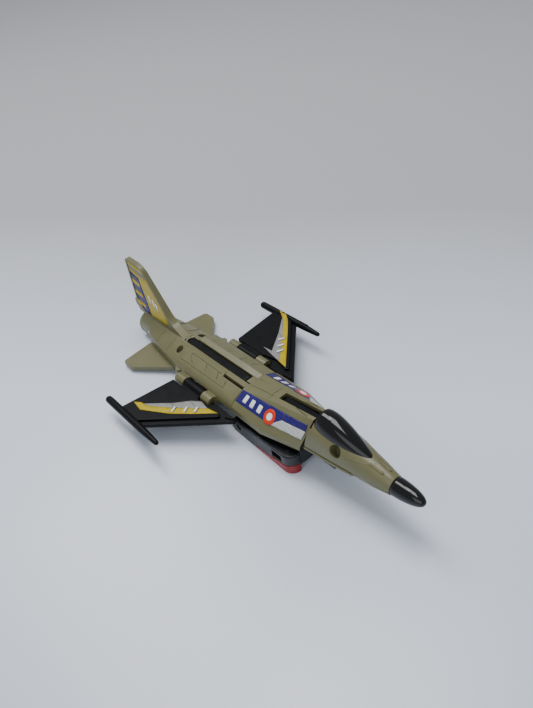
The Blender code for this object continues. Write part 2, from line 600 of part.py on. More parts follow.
SOLE_START, SOLE_TOP, SOLE_BEND = 8.4, -8.8, 25.0
RIM_PEG_X = (6.0, 24.5)
RIM_STEPS = ((0.0, 0.8), (0.55, 1.35), (1.1, 1.85))      # inset, height above the housing's top edge


def ground(x):
    """Height of the standing surface under a station, in the datum frame."""
    return TOE[1] + (TOE[0] - x) * math.tan(math.radians(STANCE))


def leg_plan(inset=0.0):
    """The pod seen from above: square inside, rounded at the outer front corner."""
    corner = 3.9
    low, high = LEG_Y[0] + inset, LEG_Y[1] - inset
    front = LEG_FRONT - inset
    arc = circle((front - corner, high - corner), corner, 8, 90, -90)
    return [(LEG_REAR - 2, low), (LEG_REAR - 2, high)] + arc + [(front, low)]


def leg_block(profile, side, inset=0.0):
    """A side profile (x, z) trimmed to the pod's plan."""
    block = prism(profile, "y", *sorted((LEG_Y[0] * side, LEG_Y[1] * side)))
    plan = [(x, y * side) for x, y in leg_plan(inset)]
    return common(block, prism(plan, "z", TOE[1] - 2, 0))


def leg_pod(side):
    name = SIDE_NAME[side]
    body = name + "_leg"
    edge = [(-3.9, -5.8), (12.0, -4.5), (LEG_FRONT + 1, -4.5)]
    lower = [(-3.0, ground(-3.0)), (-4.1, -9.2), (LEG_REAR, LEG_PIVOT[1])]
    under = [(LEG_FRONT + 1, SOLE_TOP + GAP), (SOLE_BEND, SOLE_TOP + GAP),
             (SOLE_START + GAP, ground(SOLE_START) + 0.75), (SOLE_START - GAP, ground(SOLE_START - GAP))]
    housing = leg_block(lower + edge + under, side)
    cut(housing, box((18.6, 23.6), sorted((10.6 * side, 14 * side)), (-9.4, -5.4)))
    cut(housing, rod("y", LEG_PIVOT, PIN_R + 0.7, *sorted((5 * side, 14 * side)), 12))
    peg_y = 9.0 * side
    for x in RIM_PEG_X:
        cut(housing, rod("z", (x, peg_y), 1.0, -8.0, 0, 12))
    keep(housing, f"{name}_leg_housing", body, "black_matte")

    def layer(low, high, inset, x_low):
        line = [(x, z + low) for x, z in edge]
        top = [(x, z + high) for x, z in edge]
        line[0] = (x_low, line[0][1])
        top[0] = (x_low + 0.4, top[0][1])
        return leg_block(line + list(reversed(top)), side, inset)

    rim = layer(GAP, RIM_STEPS[0][1], 0.0, -3.7)
    low = GAP
    for inset, high in RIM_STEPS[1:]:
        low = high - 0.8
        fuse(rim, layer(low, high, inset, -3.0))
    for x in RIM_PEG_X:
        fuse(rim, rod("z", (x, peg_y), 0.7, -7.5, -3.6, 12))
    keep(rim, f"{name}_leg_rim", body, "black_matte")

    front = LEG_FRONT + 1
    sole = leg_block([(SOLE_START, ground(SOLE_START)), (front, ground(front)), (front, SOLE_TOP),
                      (SOLE_BEND, SOLE_TOP), (SOLE_START + 0.2, ground(SOLE_START) + 0.4)], side)
    keep(sole, f"{name}_leg_sole", body, "red")


# ---------------------------------------------------------------- assembly

clear_scene()
MATERIALS = make_materials()
EMPTIES = make_bodies()
for wing_side in SIDES:
    rear_shell(wing_side)
    wing_panel(wing_side)
    leg_pod(wing_side)
forebody_cover()
belly_tray()
keel_housing()
airframe_fasteners()
nose_upper_shell()
nose_lower_shell()
nose_keel_plate()
nose_cone()
canopy()
nose_link()
screw("nose_screw", "nose", NOSE_SCREW_X, 0, -2.3, -1.5, 4.8)
tail_upper_shell()
tail_lower_shell()
tail_boom()
screw("tail_screw", "tail", TAIL_SCREW_X, 0, -6.0, -5.3, 2.4)
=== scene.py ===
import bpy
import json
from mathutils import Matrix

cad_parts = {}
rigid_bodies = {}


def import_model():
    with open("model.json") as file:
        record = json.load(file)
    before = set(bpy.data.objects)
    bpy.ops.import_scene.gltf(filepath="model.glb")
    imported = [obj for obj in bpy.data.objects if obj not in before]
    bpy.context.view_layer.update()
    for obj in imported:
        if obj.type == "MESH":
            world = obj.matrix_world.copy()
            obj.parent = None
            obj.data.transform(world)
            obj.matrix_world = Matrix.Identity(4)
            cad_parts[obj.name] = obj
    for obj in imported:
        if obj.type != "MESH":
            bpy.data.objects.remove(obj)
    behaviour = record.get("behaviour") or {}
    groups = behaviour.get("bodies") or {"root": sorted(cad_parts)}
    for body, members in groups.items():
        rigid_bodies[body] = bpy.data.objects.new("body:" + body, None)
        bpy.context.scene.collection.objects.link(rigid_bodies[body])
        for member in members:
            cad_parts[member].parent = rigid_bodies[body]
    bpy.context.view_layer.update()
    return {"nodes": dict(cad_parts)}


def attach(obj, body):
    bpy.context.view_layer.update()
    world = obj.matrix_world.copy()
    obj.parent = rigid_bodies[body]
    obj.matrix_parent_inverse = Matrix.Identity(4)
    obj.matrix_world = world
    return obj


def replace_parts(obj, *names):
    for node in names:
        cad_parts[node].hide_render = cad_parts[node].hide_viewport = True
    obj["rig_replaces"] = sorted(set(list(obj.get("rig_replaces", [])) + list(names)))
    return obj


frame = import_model()

import json
import math

import bmesh
import bpy
from mathutils import Matrix, Vector
from mathutils.bvhtree import BVHTree

NODES = frame["nodes"]

# The toy stands nose up on its leg pods and exhaust. Lengths are millimetres from the datum, a point in the
# wing plane on the centre line, with X to the nose, Y to the left wing and Z up. Angles are degrees.
MM = 0.001
STANCE = 3.45
DATUM_FORWARD, DATUM_HEIGHT = 4.32, 10.693
GAP = 0.3                    # play between the pieces
SIDES = (1, -1)
SIDE_NAME = {1: "left", -1: "right"}
TILT = Matrix.Rotation(math.radians(-STANCE), 4, "Y")
RIGID = Matrix.Translation((DATUM_FORWARD * MM, 0, DATUM_HEIGHT * MM)) @ TILT
DATUM = RIGID @ Matrix.Scale(MM, 4)
TO_DATUM = DATUM.inverted()


def add_object(name, data):
    thing = bpy.data.objects.new(name, data)
    bpy.context.scene.collection.objects.link(thing)
    return thing


# ---------------------------------------------------------------- camera

CAMERA_AZIMUTH, CAMERA_ELEVATION, CAMERA_ROLL = -33.44, 38.10, -11.18
CAMERA_PLACE = (148.32, -91.86, 155.23)
CAMERA_LENS, CAMERA_SENSOR = 32.39, 36
CAMERA_NEAREST = 10


def make_camera():
    azimuth, elevation = math.radians(CAMERA_AZIMUTH), math.radians(CAMERA_ELEVATION)
    roll = math.radians(CAMERA_ROLL)
    back = Vector((math.cos(azimuth) * math.cos(elevation), math.sin(azimuth) * math.cos(elevation),
                   math.sin(elevation)))
    level = Vector((-math.sin(azimuth), math.cos(azimuth), 0))
    upright = back.cross(level)
    right = math.cos(roll) * level + math.sin(roll) * upright
    up = math.cos(roll) * upright - math.sin(roll) * level
    turn = Matrix((right, up, back)).transposed().to_4x4()
    data = bpy.data.cameras.new("camera")
    data.sensor_width = CAMERA_SENSOR
    data.lens = CAMERA_LENS
    data.clip_start = CAMERA_NEAREST * MM
    camera = add_object("camera", data)
    camera.matrix_world = RIGID @ Matrix.Translation(Vector(CAMERA_PLACE) * MM) @ turn
    bpy.context.scene.camera = camera


make_camera()


# ---------------------------------------------------------------- materials

STRETCH_TURN = (0.2, 0.1, 0.5)          # radians; keeps drawn-out textures off the axes
EDGE_SAMPLES = 6
RIDGE_LEAN = 0.06                       # keeps moulded lines level while the toy stands nose up
DUST_TONE = (0.42, 0.43, 0.45)
SCUFF_TONE = (0.4, 0.4, 0.38)


class Nodes:
    """A short way to write a node tree. The textures are fixed to each piece."""

    def __init__(self, name):
        self.material = bpy.data.materials.new(name)
        self.material.use_nodes = True
        self.tree = self.material.node_tree
        self.shader = self.tree.nodes["Principled BSDF"]
        self.where = self.new("ShaderNodeTexCoord").outputs["Object"]

    def new(self, kind, **settings):
        node = self.tree.nodes.new(kind)
        for key, value in settings.items():
            setattr(node, key, value)
        return node

    def link(self, source, target):
        self.tree.links.new(source, target)

    def noise(self, scale, detail=3.0, stretch=None, roughness=0.5):
        node = self.new("ShaderNodeTexNoise")
        node.inputs["Scale"].default_value = scale
        node.inputs["Detail"].default_value = detail
        node.inputs["Roughness"].default_value = roughness
        place = self.where
        if stretch:
            mapping = self.new("ShaderNodeMapping")
            mapping.inputs["Scale"].default_value = stretch
            mapping.inputs["Rotation"].default_value = STRETCH_TURN
            self.link(place, mapping.inputs["Vector"])
            place = mapping.outputs["Vector"]
        self.link(place, node.inputs["Vector"])
        return node.outputs["Fac"]

    def ramp(self, value, stops):
        node = self.new("ShaderNodeValToRGB")
        for i, (place, colour) in enumerate(stops):
            element = node.color_ramp.elements[i] if i < 2 else node.color_ramp.elements.new(place)
            element.position = place
            element.color = (*colour, 1.0)
        self.link(value, node.inputs["Fac"])
        return node.outputs["Color"]

    def scale_to(self, value, low, high, start=0.3, end=0.7):
        """Carries start..end over to low..high."""
        node = self.new("ShaderNodeMapRange")
        for name, number in (("From Min", start), ("From Max", end), ("To Min", low), ("To Max", high)):
            node.inputs[name].default_value = number
        self.link(value, node.inputs["Value"])
        return node.outputs["Result"]

    def feed(self, socket, value):
        """Gives a socket a number, a colour or another node's output."""
        if isinstance(value, tuple):
            socket.default_value = (*value, 1.0)
        elif isinstance(value, (float, int)):
            socket.default_value = value
        else:
            self.link(value, socket)

    def mix(self, factor, first, second):
        """A mix of two colours, through the colour sockets of the node."""
        node = self.new("ShaderNodeMix", data_type="RGBA")
        for index, value in ((0, factor), (6, first), (7, second)):
            self.feed(node.inputs[index], value)
        return node.outputs[2]

    def math(self, operation, first, second=None):
        node = self.new("ShaderNodeMath", operation=operation)
        for socket, value in zip(node.inputs, (first, second)):
            if value is not None:
                self.feed(socket, value)
        return node.outputs[0]

    def xyz(self):
        parts = self.new("ShaderNodeSeparateXYZ")
        self.link(self.where, parts.inputs[0])
        return parts.outputs

    def wave(self, length, pitch):
        """A wave along a length, with its pitch in mm."""
        return self.math("SINE", self.math("MULTIPLY", length, 2 * math.pi / (pitch * MM)))

    def set(self, **values):
        """Sets inputs of the shader, whose names are written with underscores."""
        for name, value in values.items():
            self.feed(self.shader.inputs[name.replace("_", " ")], value)

    def bump(self, layers, edge=0.0):
        """layers: (height, distance in mm, strength), the finest last. edge rounds corners by so many mm."""
        normal = None
        if edge:
            bevel = self.new("ShaderNodeBevel", samples=EDGE_SAMPLES)
            bevel.inputs["Radius"].default_value = edge * MM
            normal = bevel.outputs["Normal"]
        for height, distance, strength in layers:
            node = self.new("ShaderNodeBump")
            node.inputs["Distance"].default_value = distance * MM
            node.inputs["Strength"].default_value = strength
            self.link(height, node.inputs["Height"])
            if normal is not None:
                self.link(normal, node.inputs["Normal"])
            normal = node.outputs["Normal"]
        self.link(normal, self.shader.inputs["Normal"])


def shade(colour, factor):
    return tuple(channel * factor for channel in colour)


def moulded(name, colour, roughness, wander=0.06, grain=0.35, edge=0.22, coat=0.0, specks=0.0,
            specular=0.5, ridges=0.0):
    """Injection-moulded plastic: cloudy colour, uneven gloss, fine skin texture and faint flow waves.

    wander is how far the colour strays, grain how strong the skin texture is, edge the rounding of corners in
    mm, specks how much dust shows, and ridges the pitch in mm of fine moulded lines round the piece.
    """
    n = Nodes(name)
    cloud = n.noise(scale=140, detail=4)
    tone = n.ramp(cloud, [(0.3, shade(colour, 1 - wander)), (0.7, shade(colour, 1 + wander))])
    streak = n.noise(scale=300, detail=5, stretch=(0.25, 1.0, 1.0), roughness=0.6)
    tone = n.mix(n.scale_to(streak, low=0.0, high=0.22, start=0.45, end=0.75), tone,
                 shade(colour, 1 - 2.2 * wander))
    if specks:
        dust = n.noise(scale=2600, detail=2)
        tone = n.mix(n.scale_to(dust, low=0.0, high=specks, start=0.66, end=0.78), tone, DUST_TONE)
    worn = n.noise(scale=420, detail=5, stretch=(0.4, 1.0, 1.0), roughness=0.65)
    n.set(Base_Color=tone, Roughness=n.scale_to(worn, low=roughness - 0.07, high=roughness + 0.09),
          Specular_IOR_Level=specular, Coat_Weight=coat, Coat_Roughness=0.06)
    layers = [(n.noise(scale=170, detail=2), 0.10, 0.35), (n.noise(scale=3200, detail=3), 0.02, grain)]
    if ridges:
        along, _, up = n.xyz()
        level = n.math("SUBTRACT", up, n.math("MULTIPLY", along, RIDGE_LEAN))
        layers.insert(0, (n.wave(level, ridges), 0.16, 0.9))
    n.bump(layers, edge)
    return n.material


def gloss_black(name):
    """Polished black plastic with faint smears."""
    n = Nodes(name)
    tone = n.ramp(n.noise(scale=120, detail=3), [(0.3, (0.0012, 0.0012, 0.0015)),
                                                 (0.7, (0.0022, 0.0022, 0.0026))])
    smear = n.noise(scale=260, detail=5, stretch=(0.3, 1.0, 1.0))
    n.set(Base_Color=tone, Roughness=n.scale_to(smear, low=0.05, high=0.12), Specular_IOR_Level=0.5)
    n.bump([(n.noise(scale=190, detail=2), 0.08, 0.30), (n.noise(scale=2400, detail=2), 0.004, 0.25)])
    return n.material


def sticker_film(name, colour, roughness=0.34, second=None, pitch=0.0):
    """Printed film, a little scuffed. second and pitch give it a faint printed grid."""
    n = Nodes(name)
    cloud = n.noise(scale=260, detail=4)
    tone = n.ramp(cloud, [(0.3, shade(colour, 0.95)), (0.7, shade(colour, 1.05))])
    if second:
        along, across = (n.scale_to(n.wave(length, pitch), low=0.0, high=0.55, start=0.55, end=1.0)
                         for length in n.xyz()[:2])
        tone = n.mix(n.math("MAXIMUM", along, across), tone, second)
    scuff = n.noise(scale=900, detail=6, stretch=(0.2, 1.0, 1.0), roughness=0.7)
    tone = n.mix(n.scale_to(scuff, low=0.0, high=0.10, start=0.62, end=0.78), tone, SCUFF_TONE)
    n.set(Base_Color=tone, Roughness=n.scale_to(cloud, low=roughness - 0.05, high=roughness + 0.08),
          Specular_IOR_Level=0.30)
    n.bump([(n.noise(scale=420, detail=2), 0.03, 0.35), (n.noise(scale=3000, detail=2), 0.008, 0.25)])
    return n.material


def steel(name):
    """Turned steel with fine brushed marks."""
    n = Nodes(name)
    tone = n.ramp(n.noise(scale=500, detail=4), [(0.3, (0.42, 0.42, 0.43)), (0.7, (0.56, 0.56, 0.57))])
    n.set(Base_Color=tone, Roughness=n.scale_to(n.noise(scale=900, detail=4), low=0.24, high=0.42),
          Metallic=1.0)
    n.bump([(n.noise(scale=4000, detail=2, stretch=(1.0, 0.1, 1.0)), 0.006, 0.3)], edge=0.12)
    return n.material


BLACK = dict(wander=0.12, grain=0.4)
MATERIAL = {
    "khaki": moulded("khaki_plastic", (0.136, 0.130, 0.058), 0.36, coat=0.12, specks=0.04),
    # Painted shade: a dark khaki for the cover's front face, standing in for the shadow in the gap before the
    # nose.
    "khaki_painted_shade": moulded("khaki_painted_shade_plastic", (0.022, 0.020, 0.010), 0.6, specular=0.2),
    # Painted highlight: a lighter copy of the khaki for the lip round the boom's rear end.
    "khaki_painted_highlight": moulded("khaki_painted_highlight_plastic", (0.24, 0.22, 0.14), 0.36, coat=0.18),
    "black": moulded("black_plastic", (0.0024, 0.0028, 0.0038), 0.36, specular=0.15, specks=0.03, **BLACK),
    "pod": moulded("pod_plastic", (0.0110, 0.0120, 0.0140), 0.36, specks=0.05, **BLACK),
    "gloss": gloss_black("gloss_black_plastic"),
    "rim": moulded("pod_rim_plastic", (0.0080, 0.0088, 0.0104), 0.32, wander=0.12, grain=0.3, ridges=0.75),
    "red": moulded("red_plastic", (0.30, 0.006, 0.010), 0.32, wander=0.05, grain=0.25, coat=0.2,
                   ridges=0.9),
    "steel": steel("screw_steel"),
    "navy": sticker_film("navy_film", (0.016, 0.011, 0.120), 0.30, second=(0.030, 0.024, 0.17), pitch=0.9),
    "yellow": sticker_film("yellow_film", (0.47, 0.350, 0.0), 0.36),
    "silver": sticker_film("silver_film", (0.25, 0.25, 0.245)),
    "white": sticker_film("white_film", (0.52, 0.53, 0.51), 0.36, second=(0.36, 0.37, 0.36), pitch=0.75),
    "mark": sticker_film("mark_film", (0.82, 0.82, 0.82)),
    "orange": sticker_film("orange_film", (0.60, 0.035, 0.008), 0.30),
    "shadow": sticker_film("shadow_film", (0.02, 0.02, 0.025)),
}


# ---------------------------------------------------------------- mesh helpers, in datum millimetres

SHARP = 32.0                 # edges that bend more than this are rounded or stay crisp
ALMOST_STRAIGHT = 176        # corners wider than this need no arc
ARC_REACH = 0.48             # the longest arc takes this much of the edges beside it
WELD, FLAT = 0.002, 0.8      # how close CAD corners must be to join, and faces to be one
SMALL_MESH = 4000            # faces; a larger piece without a bevel is smooth enough as it is


def thing_from(mesh, name="solid"):
    data = bpy.data.meshes.new(name)
    mesh.to_mesh(data)
    mesh.free()
    return add_object(name, data)


def loft(rings):
    """A closed solid through rings of equal length."""
    mesh = bmesh.new()
    layers = [[mesh.verts.new(point) for point in ring] for ring in rings]
    count = len(rings[0])
    for lower, upper in zip(layers, layers[1:]):
        for i in range(count):
            j = (i + 1) % count
            mesh.faces.new((lower[i], lower[j], upper[j], upper[i]))
    mesh.faces.new(list(reversed(layers[0])))
    mesh.faces.new(layers[-1])
    bmesh.ops.recalc_face_normals(mesh, faces=mesh.faces)
    return thing_from(mesh)


def prism(outline, axis, low, high):
    """An outline drawn out along an axis. Its points give the other two coordinates in order."""
    place = {"x": lambda a, b, c: (c, a, b), "y": lambda a, b, c: (a, c, b), "z": lambda a, b, c: (a, b, c)}
    return loft([[place[axis](a, b, level) for a, b in outline] for level in (low, high)])


def box(x, y, z):
    return prism([(x[0], y[0]), (x[1], y[0]), (x[1], y[1]), (x[0], y[1])], "z", z[0], z[1])


def circle(centre, radius, sides, start=0.0, sweep=360.0):
    """Points round a circle, or along an arc of it with both ends."""
    steps = sides if sweep >= 360.0 else sides - 1
    angles = [math.radians(start + sweep * i / steps) for i in range(sides)]
    return [(centre[0] + radius * math.cos(a), centre[1] + radius * math.sin(a)) for a in angles]


def arc_band(centre, inner, outer, start, end, steps=16):
    """A flat arc-shaped band."""
    edge, hollow = (circle(centre, radius, steps + 1, start, end - start) for radius in (outer, inner))
    return edge + hollow[::-1]


def rod(axis, centre, radius, low, high, sides=48):
    return prism(circle(centre, radius, sides, start=180.0 / sides), axis, low, high)


def tilted_rod(centre, radius, low, high, tilt, sides=40):
    """A rod that leans outwards, away from the centre plane, by tilt from straight up."""
    lean = math.radians(tilt) * (1 if centre[1] > 0 else -1)
    axis = Vector((0, math.sin(lean), math.cos(lean)))
    across = Vector((0, math.cos(lean), -math.sin(lean)))
    return loft([[Vector(centre) + Vector((1, 0, 0)) * a + across * b + axis * level
                  for a, b in circle((0, 0), radius, sides)] for level in (low, high)])


def rounded(outline, radii, steps=5):
    """An outline with its corners replaced by arcs. radii is one number or one for each corner."""
    count = len(outline)
    radii = radii if isinstance(radii, (list, tuple)) else [radii] * count
    result = []
    for i, corner in enumerate(outline):
        here, before, after = Vector(corner), Vector(outline[i - 1]), Vector(outline[(i + 1) % count])
        first, second = before - here, after - here
        angle = first.angle(second)
        if radii[i] <= 0 or angle > math.radians(ALMOST_STRAIGHT):
            result.append(tuple(here))
            continue
        reach = radii[i] / math.tan(angle / 2)
        reach = min(reach, first.length * ARC_REACH, second.length * ARC_REACH)
        start, end = here + first.normalized() * reach, here + second.normalized() * reach
        for k in range(steps + 1):
            t = k / steps
            result.append(tuple((1 - t) ** 2 * start + 2 * t * (1 - t) * here + t * t * end))
    return result


def strip(start, end, normal, width, height, depth):
    """A thin bar lying on a surface from start to end, sunk by depth and standing up by height."""
    start, end, normal = Vector(start), Vector(end), Vector(normal).normalized()
    along = (end - start).normalized()
    normal = (normal - along * normal.dot(along)).normalized()
    side = along.cross(normal) * (width / 2)
    return loft([[place + side - normal * depth, place + side + normal * height,
                  place - side + normal * height, place - side - normal * depth] for place in (start, end)])


def groove(start, end, normal, width, depth):
    """The bar that cuts a panel line."""
    return strip(start, end, normal, width, 1.0, depth)


def at(x, section):
    return [(x, y, z) for y, z in section]


def apply_modifiers(thing):
    bpy.context.view_layer.update()
    graph = bpy.context.evaluated_depsgraph_get()
    result = bpy.data.meshes.new_from_object(thing.evaluated_get(graph))
    thing.modifiers.clear()
    thing.data = result


def combine(body, operation, others):
    for other in others:
        modifier = body.modifiers.new(operation.lower(), "BOOLEAN")
        modifier.operation = operation
        modifier.solver = "EXACT"
        modifier.object = other
        apply_modifiers(body)
        bpy.data.objects.remove(other, do_unlink=True)
    return body


def fuse(body, *others):
    return combine(body, "UNION", others)


def cut(body, *others):
    return combine(body, "DIFFERENCE", others)


def from_node(name):
    """A welded copy of a CAD node with its flat faces whole again."""
    mesh = bmesh.new()
    mesh.from_mesh(NODES[name].data)
    mesh.transform(TO_DATUM)
    bmesh.ops.remove_doubles(mesh, verts=mesh.verts, dist=WELD)
    bmesh.ops.dissolve_limit(mesh, angle_limit=math.radians(FLAT), verts=mesh.verts, edges=mesh.edges)
    return thing_from(mesh)


def add_bevel(thing, width, segments, sharp):
    modifier = thing.modifiers.new("bevel", "BEVEL")
    modifier.width = width
    modifier.segments = segments
    modifier.limit_method = "ANGLE"
    modifier.angle_limit = math.radians(sharp)
    modifier.miter_outer = "MITER_ARC"


def soften(thing, width):
    """Rounds every sharp edge of a piece for good, so that fine lines can be cut in it afterwards."""
    add_bevel(thing, width, 3, SHARP)
    apply_modifiers(thing)


def round_edges(thing, width, segments, chosen):
    """Rounds the edges for which chosen(middle, angle) is true."""
    mesh = bmesh.new()
    mesh.from_mesh(thing.data)
    edges = []
    for edge in mesh.edges:
        if len(edge.link_faces) != 2:
            continue
        first, second = (vertex.co for vertex in edge.verts)
        if chosen((first + second) / 2, math.degrees(edge.calc_face_angle(0))):
            edges.append(edge)
    bmesh.ops.bevel(mesh, geom=edges, offset=width, segments=segments, profile=0.5, affect="EDGES",
                    clamp_overlap=True)
    mesh.to_mesh(thing.data)
    mesh.free()


def dress(thing, name, material):
    """Names a piece, moves it into the row frame and gives it its material."""
    thing.name = name
    thing.data.name = name
    thing.data.transform(DATUM)
    thing.data.materials.clear()
    thing.data.materials.append(MATERIAL[material])
    thing.data.shade_smooth()


def finish_piece(thing, name, body, material, bevel=0.0, segments=3, nodes=(), sharp=SHARP):
    """Dresses a piece, rounds its edges and hangs it on its body in place of CAD nodes."""
    dress(thing, name, material)
    if bevel:
        add_bevel(thing, bevel * MM, segments, sharp)
    else:
        thing.data.set_sharp_from_angle(angle=math.radians(sharp))
    if bevel or len(thing.data.polygons) < SMALL_MESH:
        weighted = thing.modifiers.new("even shading", "WEIGHTED_NORMAL")
        weighted.weight = 100
        weighted.keep_sharp = True
    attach(thing, body)
    if nodes:
        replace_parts(thing, *nodes)
    return thing


def surface_of(*names):
    """A search tree over CAD nodes, in datum millimetres."""
    points, faces = [], []
    for name in names:
        data = NODES[name].data
        start = len(points)
        points += [TO_DATUM @ vertex.co for vertex in data.vertices]
        faces += [[start + i for i in polygon.vertices] for polygon in data.polygons]
    return BVHTree.FromPolygons(points, faces)


def tree_of(thing):
    """A search tree over a piece that is still in datum millimetres."""
    mesh = bmesh.new()
    mesh.from_mesh(thing.data)
    tree = BVHTree.FromBMesh(mesh)
    mesh.free()
    return tree


def side_range(side, inner, outer):
    """A range of y on one side of the centre plane."""
    return sorted((inner * side, outer * side))


FILM = 0.07                  # thickness of a label
FILM_STEP = 1.2              # spacing of the cuts that let a label bend
FILM_WELD, FILM_SNAP = 0.01, 1e-5
SEARCH_ABOVE, SEARCH_REACH = 8, 20


def diced(outline, step):
    """A flat patch, cut across in both directions so that it can follow a surface."""
    patch = bmesh.new()
    patch.faces.new([patch.verts.new((a, b, 0)) for a, b in outline])
    for axis in (0, 1):
        low = min(point[axis] for point in outline)
        high = max(point[axis] for point in outline)
        for i in range(1, max(1, round((high - low) / step))):
            spot, normal = [0, 0, 0], [0, 0, 0]
            spot[axis], normal[axis] = low + i * step, 1
            geometry = patch.verts[:] + patch.edges[:] + patch.faces[:]
            bmesh.ops.bisect_plane(patch, geom=geometry, plane_co=spot, plane_no=normal, dist=FILM_SNAP)
    data = bpy.data.meshes.new("patch")
    patch.to_mesh(data)
    patch.free()
    return data


def sticker(name, body, tree, patches, place, inward, material, lift=0.03, step=FILM_STEP):
    """Film laid on a surface. patches are convex outlines in the plane that place(a, b) maps into space."""
    inward = Vector(inward).normalized()
    film = bmesh.new()
    for outline in patches:
        data = diced(outline, step)
        film.from_mesh(data)
        bpy.data.meshes.remove(data)
    bmesh.ops.remove_doubles(film, verts=film.verts, dist=FILM_WELD)
    for vertex in film.verts:
        spot = Vector(place(vertex.co.x, vertex.co.y))
        hit = tree.ray_cast(spot - inward * SEARCH_ABOVE, inward, SEARCH_REACH)[0]
        vertex.co = (hit if hit else spot) - inward * lift
    bmesh.ops.recalc_face_normals(film, faces=film.faces)
    film.faces.ensure_lookup_table()
    if film.faces[0].normal.dot(inward) > 0:
        bmesh.ops.reverse_faces(film, faces=film.faces)
    thing = thing_from(film)
    dress(thing, name, material)
    solid = thing.modifiers.new("film", "SOLIDIFY")
    solid.thickness = FILM * MM
    solid.offset = 1.0
    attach(thing, body)


# ---------------------------------------------------------------- airframe

SHELL_CREST = (4.4, 5.8)                # y and z of the left shell's crest
SHELL_RUN, SHELL_FALL = 5.5, 2.6        # how far its top slope runs outwards and falls to the shoulder
SHELL_LINES = [                         # ends as x and the share of the way from crest to shoulder
    ((-34.8, 0.12), (-15.2, 0.12)), ((-34.8, 0.12), (-33.9, 0.40)), ((-33.9, 0.40), (-31.6, 0.62)),
    ((-24.6, 0.14), (-23.0, 0.58)), ((-17.2, 0.14), (-15.8, 0.60)), ((-38.4, 0.84), (-11.0, 0.80)),
    ((-11.4, 0.30), (-10.6, 0.80)),
]
SHELL_ROUNDING = 0.28
COVER_SIDE_FACING = 0.45                # how far the cover's top leans outwards beside its slot
COVER_FRONT_LINES = [                   # two ends on the left side, width, depth
    ((23.6, 1.9, 10.05), (29.4, 3.15, 10.75), 0.36, 0.26),
    ((29.4, 3.15, 10.75), (30.4, 1.9, 11.3), 0.36, 0.26),
    ((26.8, 2.6, 10.5), (29.8, 2.6, 11.0), 0.32, 0.22),
]
COVER_CROSS_X, COVER_CROSS_HALF = 10.6, 3.9     # the line across the cover's top
COVER_LONG_Y = (-2.1, 2.1)                      # the lines along it
SHADED_FRONT_REAR, SHADED_FRONT_FACING = 30.0, 0.85   # faces ahead of this that look forward so squarely get painted shade


def rear_shells():
    """The two rear shells with their panel lines."""
    for side in SIDES:
        name = "rear_shell_" + SIDE_NAME[side]
        shell = from_node(name)

        def spot(x, across):
            return (x, (SHELL_CREST[0] + SHELL_RUN * across) * side, SHELL_CREST[1] - SHELL_FALL * across)

        soften(shell, SHELL_ROUNDING)
        slope = (0, SHELL_FALL * side, SHELL_RUN)
        cut(shell, *[groove(spot(*start), spot(*end), slope, 0.30, 0.18) for start, end in SHELL_LINES])
        finish_piece(shell, name + "_shell", "airframe", "khaki", nodes=[name])


def cover():
    """The forebody cover with its panel lines, and painted shade on its front face, which lies in the
    shadowed gap before the nose.
    """
    body = from_node("forebody_cover")
    lines = []
    for side in SIDES:
        for *ends, width, depth in COVER_FRONT_LINES:
            start, end = ((x, y * side, z) for x, y, z in ends)
            lines.append(groove(start, end, (0, COVER_SIDE_FACING * side, 1), width, depth))
    start, end = ((COVER_CROSS_X, COVER_CROSS_HALF * side, 8.0) for side in (-1, 1))
    lines.append(groove(start, end, (-0.15, 0, 1), 0.25, 0.13))
    for y in COVER_LONG_Y:
        lines.append(groove((-1.4, y, 6.06), (13.2, y * 0.95, 8.63), (-0.17, 0, 1), 0.3, 0.16))
    cut(body, *lines)
    finish_piece(body, "forebody_cover_shell", "airframe", "khaki", 0.3, nodes=["forebody_cover"])
    # Painted shade: the forward-facing front faces get a dark khaki in place of the shadow in the narrow gap
    # to the nose.
    body.data.materials.append(MATERIAL["khaki_painted_shade"])
    for polygon in body.data.polygons:
        if polygon.normal.x > SHADED_FRONT_FACING and polygon.center.x > SHADED_FRONT_REAR * MM:
            polygon.material_index = 1


def belly():
    for node, name, material in (("belly_tray", "belly_tray_plate", "black"),
                                 ("keel_housing", "keel_box", "pod")):
        finish_piece(from_node(node), name, "airframe", material, 0.25, nodes=[node])


# ---------------------------------------------------------------- wings

WING_TOP, WING_STEP, WING_BOTTOM = 0.0, -0.85, -2.4
WING_BASE = [(-34.2, 16.3), (-36.9, 38.8), (-23.1, 38.8), (0.6, 15.9), (2.2, 14.4), (1.6, 13.3),
             (-11.8, 13.3), (-11.8, 16.0), (-17.8, 16.0), (-17.8, 13.3), (-28.9, 13.3), (-28.9, 16.0)]
WING_BASE_CORNERS = [0.5, 0, 0, 3, 1.2, 0.6, 0.3, 0.3, 0.3, 0, 0, 0.3]
WING_SKIN = [(-34.1, 16.3), (-36.7, 38.4), (-25.4, 38.4), (-3.2, 17.0), (-4.4, 15.9), (-9.2, 17.2),
             (-11.6, 17.6), (-18.0, 16.3), (-28.7, 16.3)]
WING_SKIN_CORNERS = [0.4, 0, 0.6, 0.6, 0.4, 0.3, 0.3, 0.2, 0.2]
WING_OVERLAP = 0.2                      # how deep the skin and the root pad sink into the base
ROOT_PAD, ROOT_PAD_TOP = [(-2.0, 15.6), (1.6, 14.3), (1.0, 13.6), (-3.4, 13.6)], -0.25
HINGE_Y, HINGE_Z = 13.3, -1.2
BARREL_REAR, BARREL_FRONT, BARREL_R, PIN_HOLE_R = -28.9, -17.8, 2.2, 0.9
BARREL_RIDGE_Y, BARREL_RIDGE_Z = (13.9, 14.5), (0.0, 1.05)
RAIL_Y, RAIL_Z, RAIL_REAR = 39.5, -0.9, -46.4
